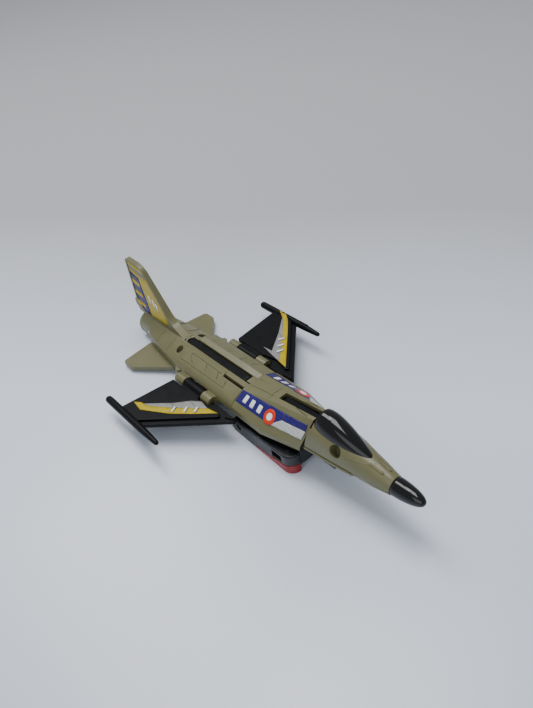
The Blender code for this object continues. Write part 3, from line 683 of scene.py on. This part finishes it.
RAIL = [                                # distance from the rear end, radius
    (0.0, 0.45), (0.12, 0.8), (0.35, 1.1), (0.7, 1.33), (1.2, 1.46), (2.0, 1.5), (12.0, 1.5), (22.0, 1.5),
    (26.0, 1.42), (30.0, 1.25), (33.0, 1.08), (35.2, 0.95), (35.8, 0.82), (36.15, 0.6), (36.3, 0.3),
]
RAIL_RIDGE_ANGLES, RAIL_RIDGE_R, RAIL_RIDGE_X = (62.0, 118.0), 1.46, (-43.5, -17.0)
EJECTOR_PLACES, EJECTOR_R, EJECTOR_RIM = ((-27.1, 22.2), (-30.5, 32.0)), 1.15, 0.2


def wings():
    for side in SIDES:
        name, body = SIDE_NAME[side], SIDE_NAME[side] + "_wing"

        def plate(outline, low, high):
            return prism([(x, y * side) for x, y in outline], "z", low, high)

        base = plate(rounded(WING_BASE, WING_BASE_CORNERS), WING_BOTTOM, WING_STEP)
        finish_piece(base, name + "_wing_base", body, "black", 0.4, 4, [name + "_wing_panel"])
        skin = plate(rounded(WING_SKIN, WING_SKIN_CORNERS), WING_STEP - WING_OVERLAP, WING_TOP)
        finish_piece(skin, name + "_wing_skin", body, "black", 0.22)
        pad = plate(rounded(ROOT_PAD, 0.4), WING_STEP - WING_OVERLAP, ROOT_PAD_TOP)
        finish_piece(pad, name + "_wing_root_pad", body, "black", 0.15)
        rail = loft([at(RAIL_REAR + d, circle((RAIL_Y * side, RAIL_Z), r, 40)) for d, r in RAIL])
        finish_piece(rail, name + "_wing_rail", body, "black")
        for i, angle in enumerate(RAIL_RIDGE_ANGLES):
            lean = math.radians(angle)
            out = Vector((0, math.cos(lean) * side, math.sin(lean)))
            start, end = (Vector((x, RAIL_Y * side, RAIL_Z)) + out * RAIL_RIDGE_R for x in RAIL_RIDGE_X)
            ridge = strip(start, end, out, 0.28, 0.12, 0.2)
            finish_piece(ridge, f"{name}_wing_rail_ridge_{i + 1}", body, "black", 0.05, 2)
        hinge, length = (HINGE_Y * side, HINGE_Z), (BARREL_REAR, BARREL_FRONT)
        barrel = rod("x", hinge, BARREL_R, *length)
        fuse(barrel, box(length, side_range(side, HINGE_Y, 16.6), (WING_BOTTOM + 0.1, WING_TOP - 0.25)),
             box(length, side_range(side, *BARREL_RIDGE_Y), BARREL_RIDGE_Z))
        cut(barrel, rod("x", hinge, PIN_HOLE_R, -30, -16, 24))
        finish_piece(barrel, name + "_wing_barrel", body, "black", 0.18)
        for i, (x, y) in enumerate(EJECTOR_PLACES):
            mark = cut(rod("z", (x, y * side), EJECTOR_R, WING_TOP - 0.2, WING_TOP + 0.05, 32),
                       rod("z", (x, y * side), EJECTOR_R - EJECTOR_RIM, WING_TOP - 0.5, WING_TOP + 0.5, 32))
            finish_piece(mark, f"{name}_wing_ejector_{i + 1}", body, "black")


# ---------------------------------------------------------------- nose

NOSE_FRONT, NOSE_TIP, NOSE_SPLIT = 64.0, 75.0, 1.6
NOSE_STATIONS = [                       # x: half width above and below the split, rise, drop, squareness
    (30.0, (7.4, 6.0, 10.4, 4.4, 3.0)), (34.05, (6.9, 5.6, 9.7, 4.4, 3.0)), (40.0, (6.4, 5.3, 8.8, 4.3, 2.9)),
    (46.0, (5.75, 4.9, 7.7, 4.2, 2.7)), (52.0, (5.05, 4.6, 6.5, 4.0, 2.4)), (58.0, (4.3, 4.2, 5.2, 3.6, 2.2)),
    (64.0, (3.3, 3.3, 3.6, 2.9, 2.0)),
]
NOSE_POINTS, NOSE_SPANS = 96, 17
SEAM_TOP, SEAM_SLANT, COVER_FRONT, SEAM_GAP = 11.8, 0.24, 33.1, 0.8
CLEAR_X, CLEAR_Y, CLEAR_LOW, CLEAR_HIGH = (20, 70), (-12, 12), -12.0, 20.0    # past the nose on all sides
NOSE_PIVOT, COVER_ROOM_R, COVER_ROOM_HALF = (16.0, 6.6), 18.2, 5.2
LINK_POCKET = ((30, 38.3), (-1.65, 1.65), (6.1, 9.9))
KEEL_POCKET = ((30, 42.6), (-4.9, 4.9), (-6.0, -2.2))
SCREW_WELL, SCREW_WELL_R, SCREW_WELL_END = (52.0, 0), 2.0, -1.2
NOSE_SOCKET, NOSE_SOCKET_R, NOSE_SOCKET_DEPTH, NOSE_SOCKET_TILT = (44.2, 5.5, 7.0), 2.1, 4.2, 50.0
NOSE_LEDGE = [(30.0, 7.6), (34.05, 7.2), (40.0, 6.75), (46.0, 6.1), (50.5, 5.5), (51.5, 4.8)]
NOSE_LEDGE_CORNERS, NOSE_LEDGE_BOTTOM = [0, 0, 0, 0, 0.8, 0.3], 0.5
NOSE_RUNS = {                           # the low ridges ahead of the canopy and the line round its foot
    "left": [(57.3, 1.0), (61.6, 0.9)],
    "right": [(55.6, -1.7), (60.2, -1.5), (60.6, -1.1)],
    "foot_left": [(47.8, 4.7), (52.0, 3.6), (56.2, 2.0), (57.0, 0.6)],
    "foot_right": [(47.8, -4.7), (52.0, -3.6), (56.2, -2.0), (57.0, -0.6)],
}
CONE_R, CONE_Z, CONE_LIFT, CONE_STEPS, CONE_SIDES = 3.2, 2.1, 0.5, 26, 64
CONE_CHAMFER, CONE_CHAMFER_LENGTH = 0.25, 0.2
CANOPY_REAR, CANOPY_TIP, CANOPY_STATIONS, CANOPY_POINTS = 34.3, 56.2, 46, 40
CANOPY_HALF, CANOPY_RISE, CANOPY_FOOT, CANOPY_FALL, CANOPY_SKIRT = 4.6, 4.8, 10.4, 4.1, 1.6


def nose_numbers(x):
    for (x0, first), (x1, second) in zip(NOSE_STATIONS, NOSE_STATIONS[1:]):
        if x <= x1 + 1e-9:
            t = (x - x0) / (x1 - x0)
            return [a + (b - a) * t for a, b in zip(first, second)]
    return list(NOSE_STATIONS[-1][1])


def nose_section(x, inset, points):
    half, lower_half, up, down, power = nose_numbers(x)
    section = []
    for i in range(points):
        angle = 2 * math.pi * i / points
        c, s = math.cos(angle), math.sin(angle)
        upper = s > -1e-6
        width = (half if upper else lower_half) - inset
        y = width * math.copysign(abs(c) ** (2 / power), c)
        rise = ((up if upper else down) - inset) * abs(s) ** (2 / power)
        section.append((y, NOSE_SPLIT + math.copysign(rise, s)))
    return section


def nose_solid(inset=0.0, points=NOSE_POINTS):
    """The whole nose outside, drawn in by inset."""
    rear = NOSE_STATIONS[0][0]
    places = [rear + (NOSE_FRONT - rear) * i / NOSE_SPANS for i in range(NOSE_SPANS + 1)]
    return loft([at(x, nose_section(x, inset, points)) for x in places])


def behind_nose_seam():
    """Everything behind the slanted seam between cover and nose."""
    edge = [(COVER_FRONT + SEAM_GAP - SEAM_SLANT * (SEAM_TOP - z), z) for z in (CLEAR_LOW, CLEAR_HIGH)]
    return prism([(CLEAR_X[0], CLEAR_LOW), *edge, (CLEAR_X[0], CLEAR_HIGH)], "y", *CLEAR_Y)


def cover_room():
    """The room the nose leaves for the cover as it folds."""
    return rod("y", NOSE_PIVOT, COVER_ROOM_R, -COVER_ROOM_HALF, COVER_ROOM_HALF, 128)


def nose():
    """The upper shell with two peg sockets, the lower shell with its side ledge, and the black parts."""
    upper = nose_solid()
    cut(upper, box(CLEAR_X, CLEAR_Y, (CLEAR_LOW, NOSE_SPLIT)), behind_nose_seam(), cover_room())
    cut(upper, box(*LINK_POCKET))
    for side in SIDES:
        centre = (NOSE_SOCKET[0], NOSE_SOCKET[1] * side, NOSE_SOCKET[2])
        cut(upper, tilted_rod(centre, NOSE_SOCKET_R, -NOSE_SOCKET_DEPTH, 4.0, NOSE_SOCKET_TILT))
    finish_piece(upper, "nose_upper", "nose", "khaki", 0.25, nodes=["nose_upper_shell"], sharp=40)
    lower = nose_solid()
    ledge = NOSE_LEDGE + [(x, -y) for x, y in reversed(NOSE_LEDGE)]
    corners = NOSE_LEDGE_CORNERS + NOSE_LEDGE_CORNERS[::-1]
    fuse(lower, prism(rounded(ledge, corners), "z", NOSE_LEDGE_BOTTOM, NOSE_SPLIT - GAP))
    cut(lower, box(CLEAR_X, CLEAR_Y, (NOSE_SPLIT - GAP, CLEAR_HIGH)), behind_nose_seam(), cover_room())
    cut(lower, box(*KEEL_POCKET), rod("z", SCREW_WELL, SCREW_WELL_R, -10, SCREW_WELL_END))
    finish_piece(lower, "nose_lower", "nose", "khaki", 0.2, nodes=["nose_lower_shell"], sharp=40)
    for node, name, material in (("nose_keel_plate", "nose_keel", "pod"), ("nose_link", "nose_arm", "black")):
        finish_piece(from_node(node), name, "nose", material, 0.2, nodes=[node])


def nose_ridges():
    tree = surface_of("nose_upper_shell")

    def drop(x, y):
        return tree.ray_cast(Vector((x, y, 20)), Vector((0, 0, -1)), 30)[:2]

    for name, places in NOSE_RUNS.items():
        width, height, bevel = (0.4, 0.12, 0.05) if name.startswith("foot") else (0.8, 0.34, 0.12)
        for i, (first, second) in enumerate(zip(places, places[1:])):
            (start, normal), (end, other) = drop(*first), drop(*second)
            ridge = strip(start, end, normal + other, width, height, 0.3)
            finish_piece(ridge, f"nose_ridge_{name}_{i + 1}", "nose", "khaki", bevel)


def cone():
    """The pointed nose cone. Its tip lies a little above the middle of its base."""
    base = NOSE_FRONT + GAP
    rings = [at(base, circle((0, CONE_Z), CONE_R - CONE_CHAMFER, CONE_SIDES)),
             at(base + CONE_CHAMFER_LENGTH, circle((0, CONE_Z), CONE_R, CONE_SIDES))]
    for i in range(1, CONE_STEPS + 1):
        turn = math.radians(89.0 * i / CONE_STEPS)
        x = base + (NOSE_TIP - base) * math.sin(turn) ** 1.05
        centre = (0, CONE_Z + CONE_LIFT * math.sin(turn))
        rings.append(at(x, circle(centre, CONE_R * math.cos(turn) ** 0.85, CONE_SIDES)))
    finish_piece(loft(rings), "nose_cone_tip", "nose", "gloss", nodes=["nose_cone"], sharp=70)


def canopy_shape(t):
    """Half width, foot and top of the canopy at a share t of its length from the rear."""
    share = min(0.09 + 0.91 * t, 1.0)
    half = CANOPY_HALF * math.sin(math.pi * share ** 0.52) ** 0.62
    base = CANOPY_FOOT - CANOPY_FALL * t
    top = base + CANOPY_RISE * math.sin(math.pi * share ** 0.5) ** 0.66
    return half, base, top


def canopy():
    """The canopy, with its rear end slanted like the seam and its foot fitted to the nose."""
    rings = []
    for i in range(CANOPY_STATIONS + 1):
        t = 0.5 - 0.5 * math.cos(math.pi * 0.985 * i / CANOPY_STATIONS)
        half, base, top = canopy_shape(t)
        arc = [(half * a, base + (top - base) * b) for a, b in circle((0, 0), 1.0, CANOPY_POINTS, 0, 180)]
        ring = arc + [(-half * 0.9, base - CANOPY_SKIRT), (half * 0.9, base - CANOPY_SKIRT)]
        middle = CANOPY_REAR + (CANOPY_TIP - CANOPY_REAR) * t
        rings.append([(middle + SEAM_SLANT * (z - SEAM_TOP) * (1 - t) ** 3, y, z) for y, z in ring])
    glass = loft(rings)
    cut(glass, nose_solid(inset=-0.02, points=72))
    finish_piece(glass, "canopy_bubble", "nose", "gloss", 0.3, nodes=["canopy"], sharp=50)


# ---------------------------------------------------------------- tail

FIN_HALF = 1.6
FIN_ROOT, FIN_RISE, FIN_THINNING, FIN_FRONT = 8.0, 22.7, 0.36, -50.0
FIN_FIELD = [(-57.4, 5.4), (-57.4, 10.6), (-67.8, 26.5), (-70.9, 29.2), (-80.5, 29.9), (-80.3, 11.6),
             (-76.2, 5.4)]
FIN_FIELD_CORNERS, FIN_FIELD_FLOOR = [0.8, 0.5, 0.5, 0.5, 0.5, 0.5, 0.5], 1.3
FIN_EDGE_LOW, FIN_EDGE_LEAN = 8.3, 0.78 # where the leading edge starts, and its run back per mm of height
COLLAR, COLLAR_R, COLLAR_ARC, COLLAR_Z = (-42.4, 0), (1.95, 2.45), (115, 245), (4.6, 5.35)
TAIL_FRONT, TAIL_MIDDLE, TAIL_WAIST = -40.3, -54.0, -66.0
RIB_X, RIB_SHIFT = (-50.0, -58.4), -0.6


def fin_share(z):
    """How much of its thickness at the root the fin still has at a height."""
    return 1 - FIN_THINNING * max(z - FIN_ROOT, 0) / FIN_RISE


def taper_fin(shell):
    """Gives the fin its sunk label fields, thins it towards its tip and rounds its leading edge."""
    fuse(shell, prism([(x * 0.998 - 0.1, z) for x, z in FIN_FIELD], "y", -FIN_HALF, FIN_HALF))
    for side in SIDES:
        field = rounded(FIN_FIELD, FIN_FIELD_CORNERS, 3)
        cut(shell, prism(field, "y", *side_range(side, FIN_FIELD_FLOOR, 4.0)))
    for vertex in shell.data.vertices:
        if vertex.co.z > FIN_ROOT and vertex.co.x < FIN_FRONT:
            vertex.co.y *= fin_share(vertex.co.z)

    def leading(middle, angle):
        on_side = abs(abs(middle.y) - FIN_HALF * fin_share(middle.z)) < 0.12
        ahead = middle.x > -58.5 - (middle.z - 10) * FIN_EDGE_LEAN
        return middle.z > FIN_EDGE_LOW and on_side and angle > 60 and ahead

    round_edges(shell, 0.6, 4, leading)


def tail():
    """The tail pieces. Returns a search tree over the upper one, whose fin takes labels."""
    upper = from_node("tail_upper_shell")
    taper_fin(upper)
    tree = tree_of(upper)
    finish_piece(upper, "tail_upper", "tail", "khaki", 0.22, nodes=["tail_upper_shell"])
    # The collar's lighter khaki is a painted highlight on the lip round the boom's rear end.
    collar = prism(arc_band(COLLAR, *COLLAR_R, *COLLAR_ARC), "z", *COLLAR_Z)
    finish_piece(collar, "tail_collar_painted_highlight", "tail", "khaki_painted_highlight", 0.12, 2)
    finish_piece(from_node("tail_lower_shell"), "tail_lower", "tail", "khaki", 0.3,
                 nodes=["tail_lower_shell"])
    finish_piece(from_node("tail_boom"), "tail_boom_bar", "tail", "black", 0.25,
                 nodes=["tail_boom"])
    for side in SIDES:
        for i, x in enumerate(RIB_X):
            if x > TAIL_MIDDLE:
                share = (x - TAIL_FRONT) / (TAIL_MIDDLE - TAIL_FRONT)
            else:
                share = 1 + (x - TAIL_MIDDLE) / (TAIL_WAIST - TAIL_MIDDLE)
            top = (x, (3.3 - 0.2 * share) * side, 4.5 - 0.1 * share)
            foot = (x + RIB_SHIFT, (9.2 - 1.0 * share) * side, 1.6 + 0.1 * share)
            rib = strip(top, foot, (0, 2.9 * side, 5.9), 0.42, 0.16, 0.4)
            finish_piece(rib, f"tail_rib_{SIDE_NAME[side]}_{i + 1}", "tail", "khaki", 0.08, 2)
    return tree


# ---------------------------------------------------------------- leg pods

POD_PARTS = (("housing", "black_matte", "pod", 0.22), ("rim", "black_matte", "rim", 0.12),
             ("sole", "red", "red", 0.22))      # part, slot, material, rounding
# A dark plate that lies in each side slot as painted shade, over the red sole below.
SLOT_SHADE_X, SLOT_SHADE_Y, SLOT_SHADE_Z = (18.2, 24.0), (7.9, 11.9), (-8.85, -8.3)


def pods():
    """The leg pods, each with a dark plate in its side slot as painted shade."""
    for side in SIDES:
        name, body = SIDE_NAME[side], SIDE_NAME[side] + "_leg"
        for part, slot, material, bevel in POD_PARTS:
            node = f"{name}_leg_{part}"
            finish_piece(from_node(node), f"{name}_pod_{part}", body, material, bevel, nodes=[node])
        # Painted shade: a dark plate that makes the slot's floor read as shadow.
        floor = box(SLOT_SHADE_X, side_range(side, *SLOT_SHADE_Y), SLOT_SHADE_Z)
        finish_piece(floor, name + "_pod_slot_shade_plate", body, "pod")


# ---------------------------------------------------------------- labels

# Outlines on the cover are measured along X and down its slope, on the wings in plan, on the fin and nozzle
# from the side. A film that lies over another one is lifted a little higher.
COVER_SLOPE = 8.0                       # distance of the slope's plane from the X axis
COVER_STEP = 0.7
COVER_BAND = [[(-1.9, -0.2), (21.2, -2.33), (21.2, 0.33), (16.6, 4.07), (-1.9, 4.4)],
              [(21.2, -2.33), (31.3, -3.25), (31.1, -0.8), (21.2, 0.33)]]
COVER_FLASH = [[(21.2, 0.33), (31.1, -0.8), (30.2, 2.5), (16.6, 4.07)]]
BADGE, BADGE_R, BADGE_DOT_R = (15.6, 1.9), 2.75, 1.35
COVER_BARS, COVER_BAR_WIDTH, COVER_BAR_ENDS = (1.3, 5.2, 9.1), 1.9, (0.3, 3.2)
WING_STRIPE = {
    "right": [[(-35.1, 34.0), (-32.6, 32.2), (-28.7, 31.6), (-29.4, 34.7)],
              [(-29.4, 34.7), (-28.7, 31.6), (-20.1, 25.6), (-18.9, 28.5)],
              [(-18.9, 28.5), (-20.1, 25.6), (-12.9, 19.9), (-11.4, 22.3)],
              [(-11.4, 22.3), (-12.9, 19.9), (-9.9, 17.2), (-4.8, 16.2)]],
    "left": [[(-34.6, 39.9), (-31.4, 40.3), (-27.0, 37.8), (-28.6, 36.6)],
             [(-28.6, 36.6), (-27.0, 37.8), (-19.0, 30.4), (-20.4, 28.8)],
             [(-20.4, 28.8), (-19.0, 30.4), (-9.6, 21.3), (-13.2, 21.6)],
             [(-13.2, 21.6), (-9.6, 21.3), (-4.7, 16.6), (-9.8, 17.4)]],
}
WING_BAND = {
    "right": [[(-31.2, 32.0), (-22.6, 24.3), (-20.1, 25.6), (-28.7, 31.6)],
              [(-22.6, 24.3), (-18.0, 18.9), (-12.9, 19.9), (-20.1, 25.6)],
              [(-18.0, 18.9), (-14.6, 16.5), (-9.9, 17.2), (-12.9, 19.9)]],
    "left": [[(-30.2, 37.4), (-28.6, 36.6), (-20.4, 28.8), (-23.4, 29.4)],
             [(-23.4, 29.4), (-20.4, 28.8), (-13.2, 21.6), (-17.2, 20.6)],
             [(-17.2, 20.6), (-13.2, 21.6), (-9.8, 17.4), (-15.6, 18.4)],
             [(-21.4, 19.5), (-16.6, 19.9), (-15.6, 18.4)]],
}
WING_BARS = {"right": [(-19.6, 26.2), (-15.9, 23.2), (-12.8, 20.6)],
             "left": [(-19.5, 27.6), (-16.6, 24.6), (-14.2, 22.0)]}
FIN_TOP = [[(-80.2, 29.6), (-80.2, 28.3), (-68.5, 26.6), (-68.2, 26.9), (-71.0, 28.95)]]
FIN_LINE = [[(-80.2, 27.7), (-80.2, 26.9), (-67.5, 25.1), (-68.1, 25.9)]]
FIN_MAIN = [[(-80.0, 26.4), (-80.0, 25.5), (-73.6, 23.5), (-67.2, 24.6)],
            [(-73.6, 23.5), (-72.2, 14.8), (-60.5, 14.8), (-66.7, 24.3), (-67.2, 24.6)],
            [(-72.2, 14.8), (-71.0, 5.7), (-58.3, 5.7), (-57.7, 6.3), (-57.7, 10.5), (-60.5, 14.8)]]
FIN_STRIPES = [[(-80.0, 24.6), (-80.0, 14.8), (-72.4, 14.8), (-73.8, 23.1)],
               [(-80.0, 14.8), (-80.0, 11.9), (-76.3, 5.7), (-71.2, 5.7), (-72.4, 14.8)]]
FIN_BARS, FIN_MARKS = (20.6, 15.2, 9.9), ((-68.4, 14.8), (-65.6, 13.9), (-63.6, 12.9))
NOZZLE_PATCH = [[(-70.9, -1.7), (-67.9, -1.7), (-67.9, 0.4), (-70.9, 0.4)]]
NOZZLE_BARS, NOZZLE_Y = (-70.5, -69.1), -5.4


def cover_labels():
    """A dark band with three bars, a ring with a dot and a pale flash on each slope of the cover."""
    tree = surface_of("forebody_cover")
    root = math.sqrt(0.5)
    disc, dot = circle(BADGE, BADGE_R, 40), circle(BADGE, BADGE_DOT_R, 28)
    for side in SIDES:
        def film(kind, patches, material, lift):
            sticker(f"cover_{kind}_{SIDE_NAME[side]}", "airframe", tree, patches,
                    lambda a, b: (a, side * (COVER_SLOPE + b) * root, (COVER_SLOPE - b) * root),
                    (0, -side, -1), material, lift, COVER_STEP)

        film("band", COVER_BAND, "navy", 0.06)
        film("flash", COVER_FLASH, "white", 0.06)
        film("badge", [disc], "orange", 0.17)
        film("badge_dot", [dot], "mark", 0.25)
        low, high = COVER_BAR_ENDS
        for i, x in enumerate(COVER_BARS):
            end = x + COVER_BAR_WIDTH
            bar = rounded([(x, low), (end, low), (end, high), (x, high)], 0.35, 3)
            film(f"bar_{i + 1}", [bar], "mark", 0.15)


def wing_labels():
    """A stripe and a band on each wing, and three slanting bars with a printed shadow."""
    for side in SIDES:
        name = SIDE_NAME[side]
        tree = surface_of(name + "_wing_panel")

        def film(kind, patches, material, lift=0.03):
            sticker(f"{name}_wing_{kind}", name + "_wing", tree, patches, lambda a, b: (a, b * side, 0),
                    (0, 0, -1), material, lift)

        film("band", WING_BAND[name], "silver")
        film("stripe", WING_STRIPE[name], "yellow", 0.05)
        for i, (x, y) in enumerate(WING_BARS[name]):
            bar = [(x - 0.9, y - 1.1), (x - 0.1, y - 1.5), (x + 1.1, y + 0.9), (x + 0.3, y + 1.3)]
            film(f"bar_{i + 1}", [bar], "mark", 0.17)
            film(f"bar_shadow_{i + 1}", [[(a + 0.35, b - 0.1) for a, b in bar]], "shadow", 0.1)


def fin_labels(tree):
    """The fin's printed field, the same on both sides."""
    for side in SIDES:
        def film(kind, patches, material, lift=0.03):
            sticker(f"fin_{kind}_{SIDE_NAME[side]}", "tail", tree, patches,
                    lambda a, b: (a, FIN_HALF * side, b), (0, -side, 0), material, lift)

        film("top", FIN_TOP, "yellow")
        film("line", FIN_LINE, "silver")
        film("field", FIN_MAIN, "yellow")
        film("stripes", FIN_STRIPES, "navy", 0.04)
        for i, z in enumerate(FIN_BARS):
            bar = [(-80.0, z + 0.9), (-80.0, z - 1.3), (-74.6, z - 2.1), (-74.0, z - 0.2)]
            film(f"bar_{i + 1}", [bar], "yellow", 0.08)
        for i, (x, z) in enumerate(FIN_MARKS):
            bar = [(x - 0.7, z - 1.7), (x + 0.6, z - 1.9), (x + 0.1, z + 1.7), (x - 1.1, z + 1.8)]
            film(f"mark_{i + 1}", [bar], "mark", 0.08)


def nozzle_label():
    """Two bars on a dark patch, on the right of the nozzle."""
    tree = surface_of("tail_upper_shell", "tail_lower_shell")

    def film(name, patches, material, lift=0.03):
        sticker(name, "tail", tree, patches, lambda a, b: (a, NOZZLE_Y, b), (0, 1, -0.1), material, lift)

    film("nozzle_label", NOZZLE_PATCH, "shadow")
    for i, x in enumerate(NOZZLE_BARS):
        bar = [(x, -1.4), (x + 0.8, -1.4), (x + 0.8, 0.1), (x, 0.1)]
        film(f"nozzle_label_bar_{i + 1}", [bar], "mark", 0.1)


# ---------------------------------------------------------------- CAD nodes that stay

def carried_nodes():
    """The screws and pins keep their CAD shape."""
    replaced = {node for thing in bpy.data.objects for node in thing.get("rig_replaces", [])}
    for name, node in NODES.items():
        if name in replaced:
            continue
        for slot in node.material_slots:
            slot.material = MATERIAL["steel"]


# ---------------------------------------------------------------- floor and light

FLOOR_SIZE = 2.5                        # metres, from the middle to an edge
FLOOR_SHADE_AWAY = (-0.64, 0.77)              # the way the painted shade on the floor deepens
FLOOR_PAINTED_SHADE_TONES = [(0.0, (0.650, 0.705, 0.800)), (0.28, (0.715, 0.770, 0.875)), (0.62, (0.440, 0.450, 0.482)),
               (1.0, (0.455, 0.462, 0.488))]
WARM, COOL = (1.0, 0.99, 0.98), (0.96, 0.98, 1.0)
ROOM_TONE, ROOM_STRENGTH = (0.80, 0.83, 0.88, 1), 0.50
LAMPS = [                               # name, place and size in metres, power, colour
    ("key_left", (-0.42, 0.02, 0.80), (0.34, 0.60), 4.5, WARM),
    ("key_right", (-0.06, 0.12, 0.90), (0.28, 0.50), 2.9, WARM),
    ("fill", (0.5, -0.75, 0.6), (0.9, 0.9), 3.4, COOL),
]


def stage():
    """A pale floor with painted shade: a little darker towards the far left, where card curving away from the
    light would lie in shade.
    """
    n = Nodes("floor_painted_shade")
    x, y, _ = n.xyz()
    away = n.math("ADD", n.math("MULTIPLY", y, FLOOR_SHADE_AWAY[1]), n.math("MULTIPLY", x, FLOOR_SHADE_AWAY[0]))
    distance = n.math("ADD", away, n.math("MULTIPLY", n.noise(scale=9, detail=2), 0.04))
    # Painted light and shade: the ramp makes the floor a little lighter near the toy and darker further away,
    # in place of a backdrop in grazing light.
    n.set(Base_Color=n.ramp(n.scale_to(distance, low=0.0, high=1.0, start=-0.10, end=0.34), FLOOR_PAINTED_SHADE_TONES),
          Roughness=0.24, Specular_IOR_Level=0.45)
    mesh = bmesh.new()
    bmesh.ops.create_grid(mesh, x_segments=2, y_segments=2, size=FLOOR_SIZE)
    floor = thing_from(mesh, "floor")
    floor.data.materials.append(n.material)


def lights():
    """Soft lamps that all look at the toy, in an evenly lit room."""
    for name, place, size, power, colour in LAMPS:
        data = bpy.data.lights.new(name, "AREA")
        data.shape = "RECTANGLE"
        data.size, data.size_y = size
        data.energy = power
        data.color = colour
        light = add_object(name, data)
        light.location = place
        light.rotation_euler = (-Vector(place)).to_track_quat("-Z", "Y").to_euler()
    world = bpy.data.worlds.new("studio")
    bpy.context.scene.world = world
    world.use_nodes = True
    background = world.node_tree.nodes["Background"]
    background.inputs["Color"].default_value = ROOM_TONE
    background.inputs["Strength"].default_value = ROOM_STRENGTH


rear_shells()
cover()
belly()
wings()
nose()
nose_ridges()
cone()
canopy()
fin_tree = tail()
pods()
cover_labels()
wing_labels()
fin_labels(fin_tree)
nozzle_label()
carried_nodes()
stage()
lights()
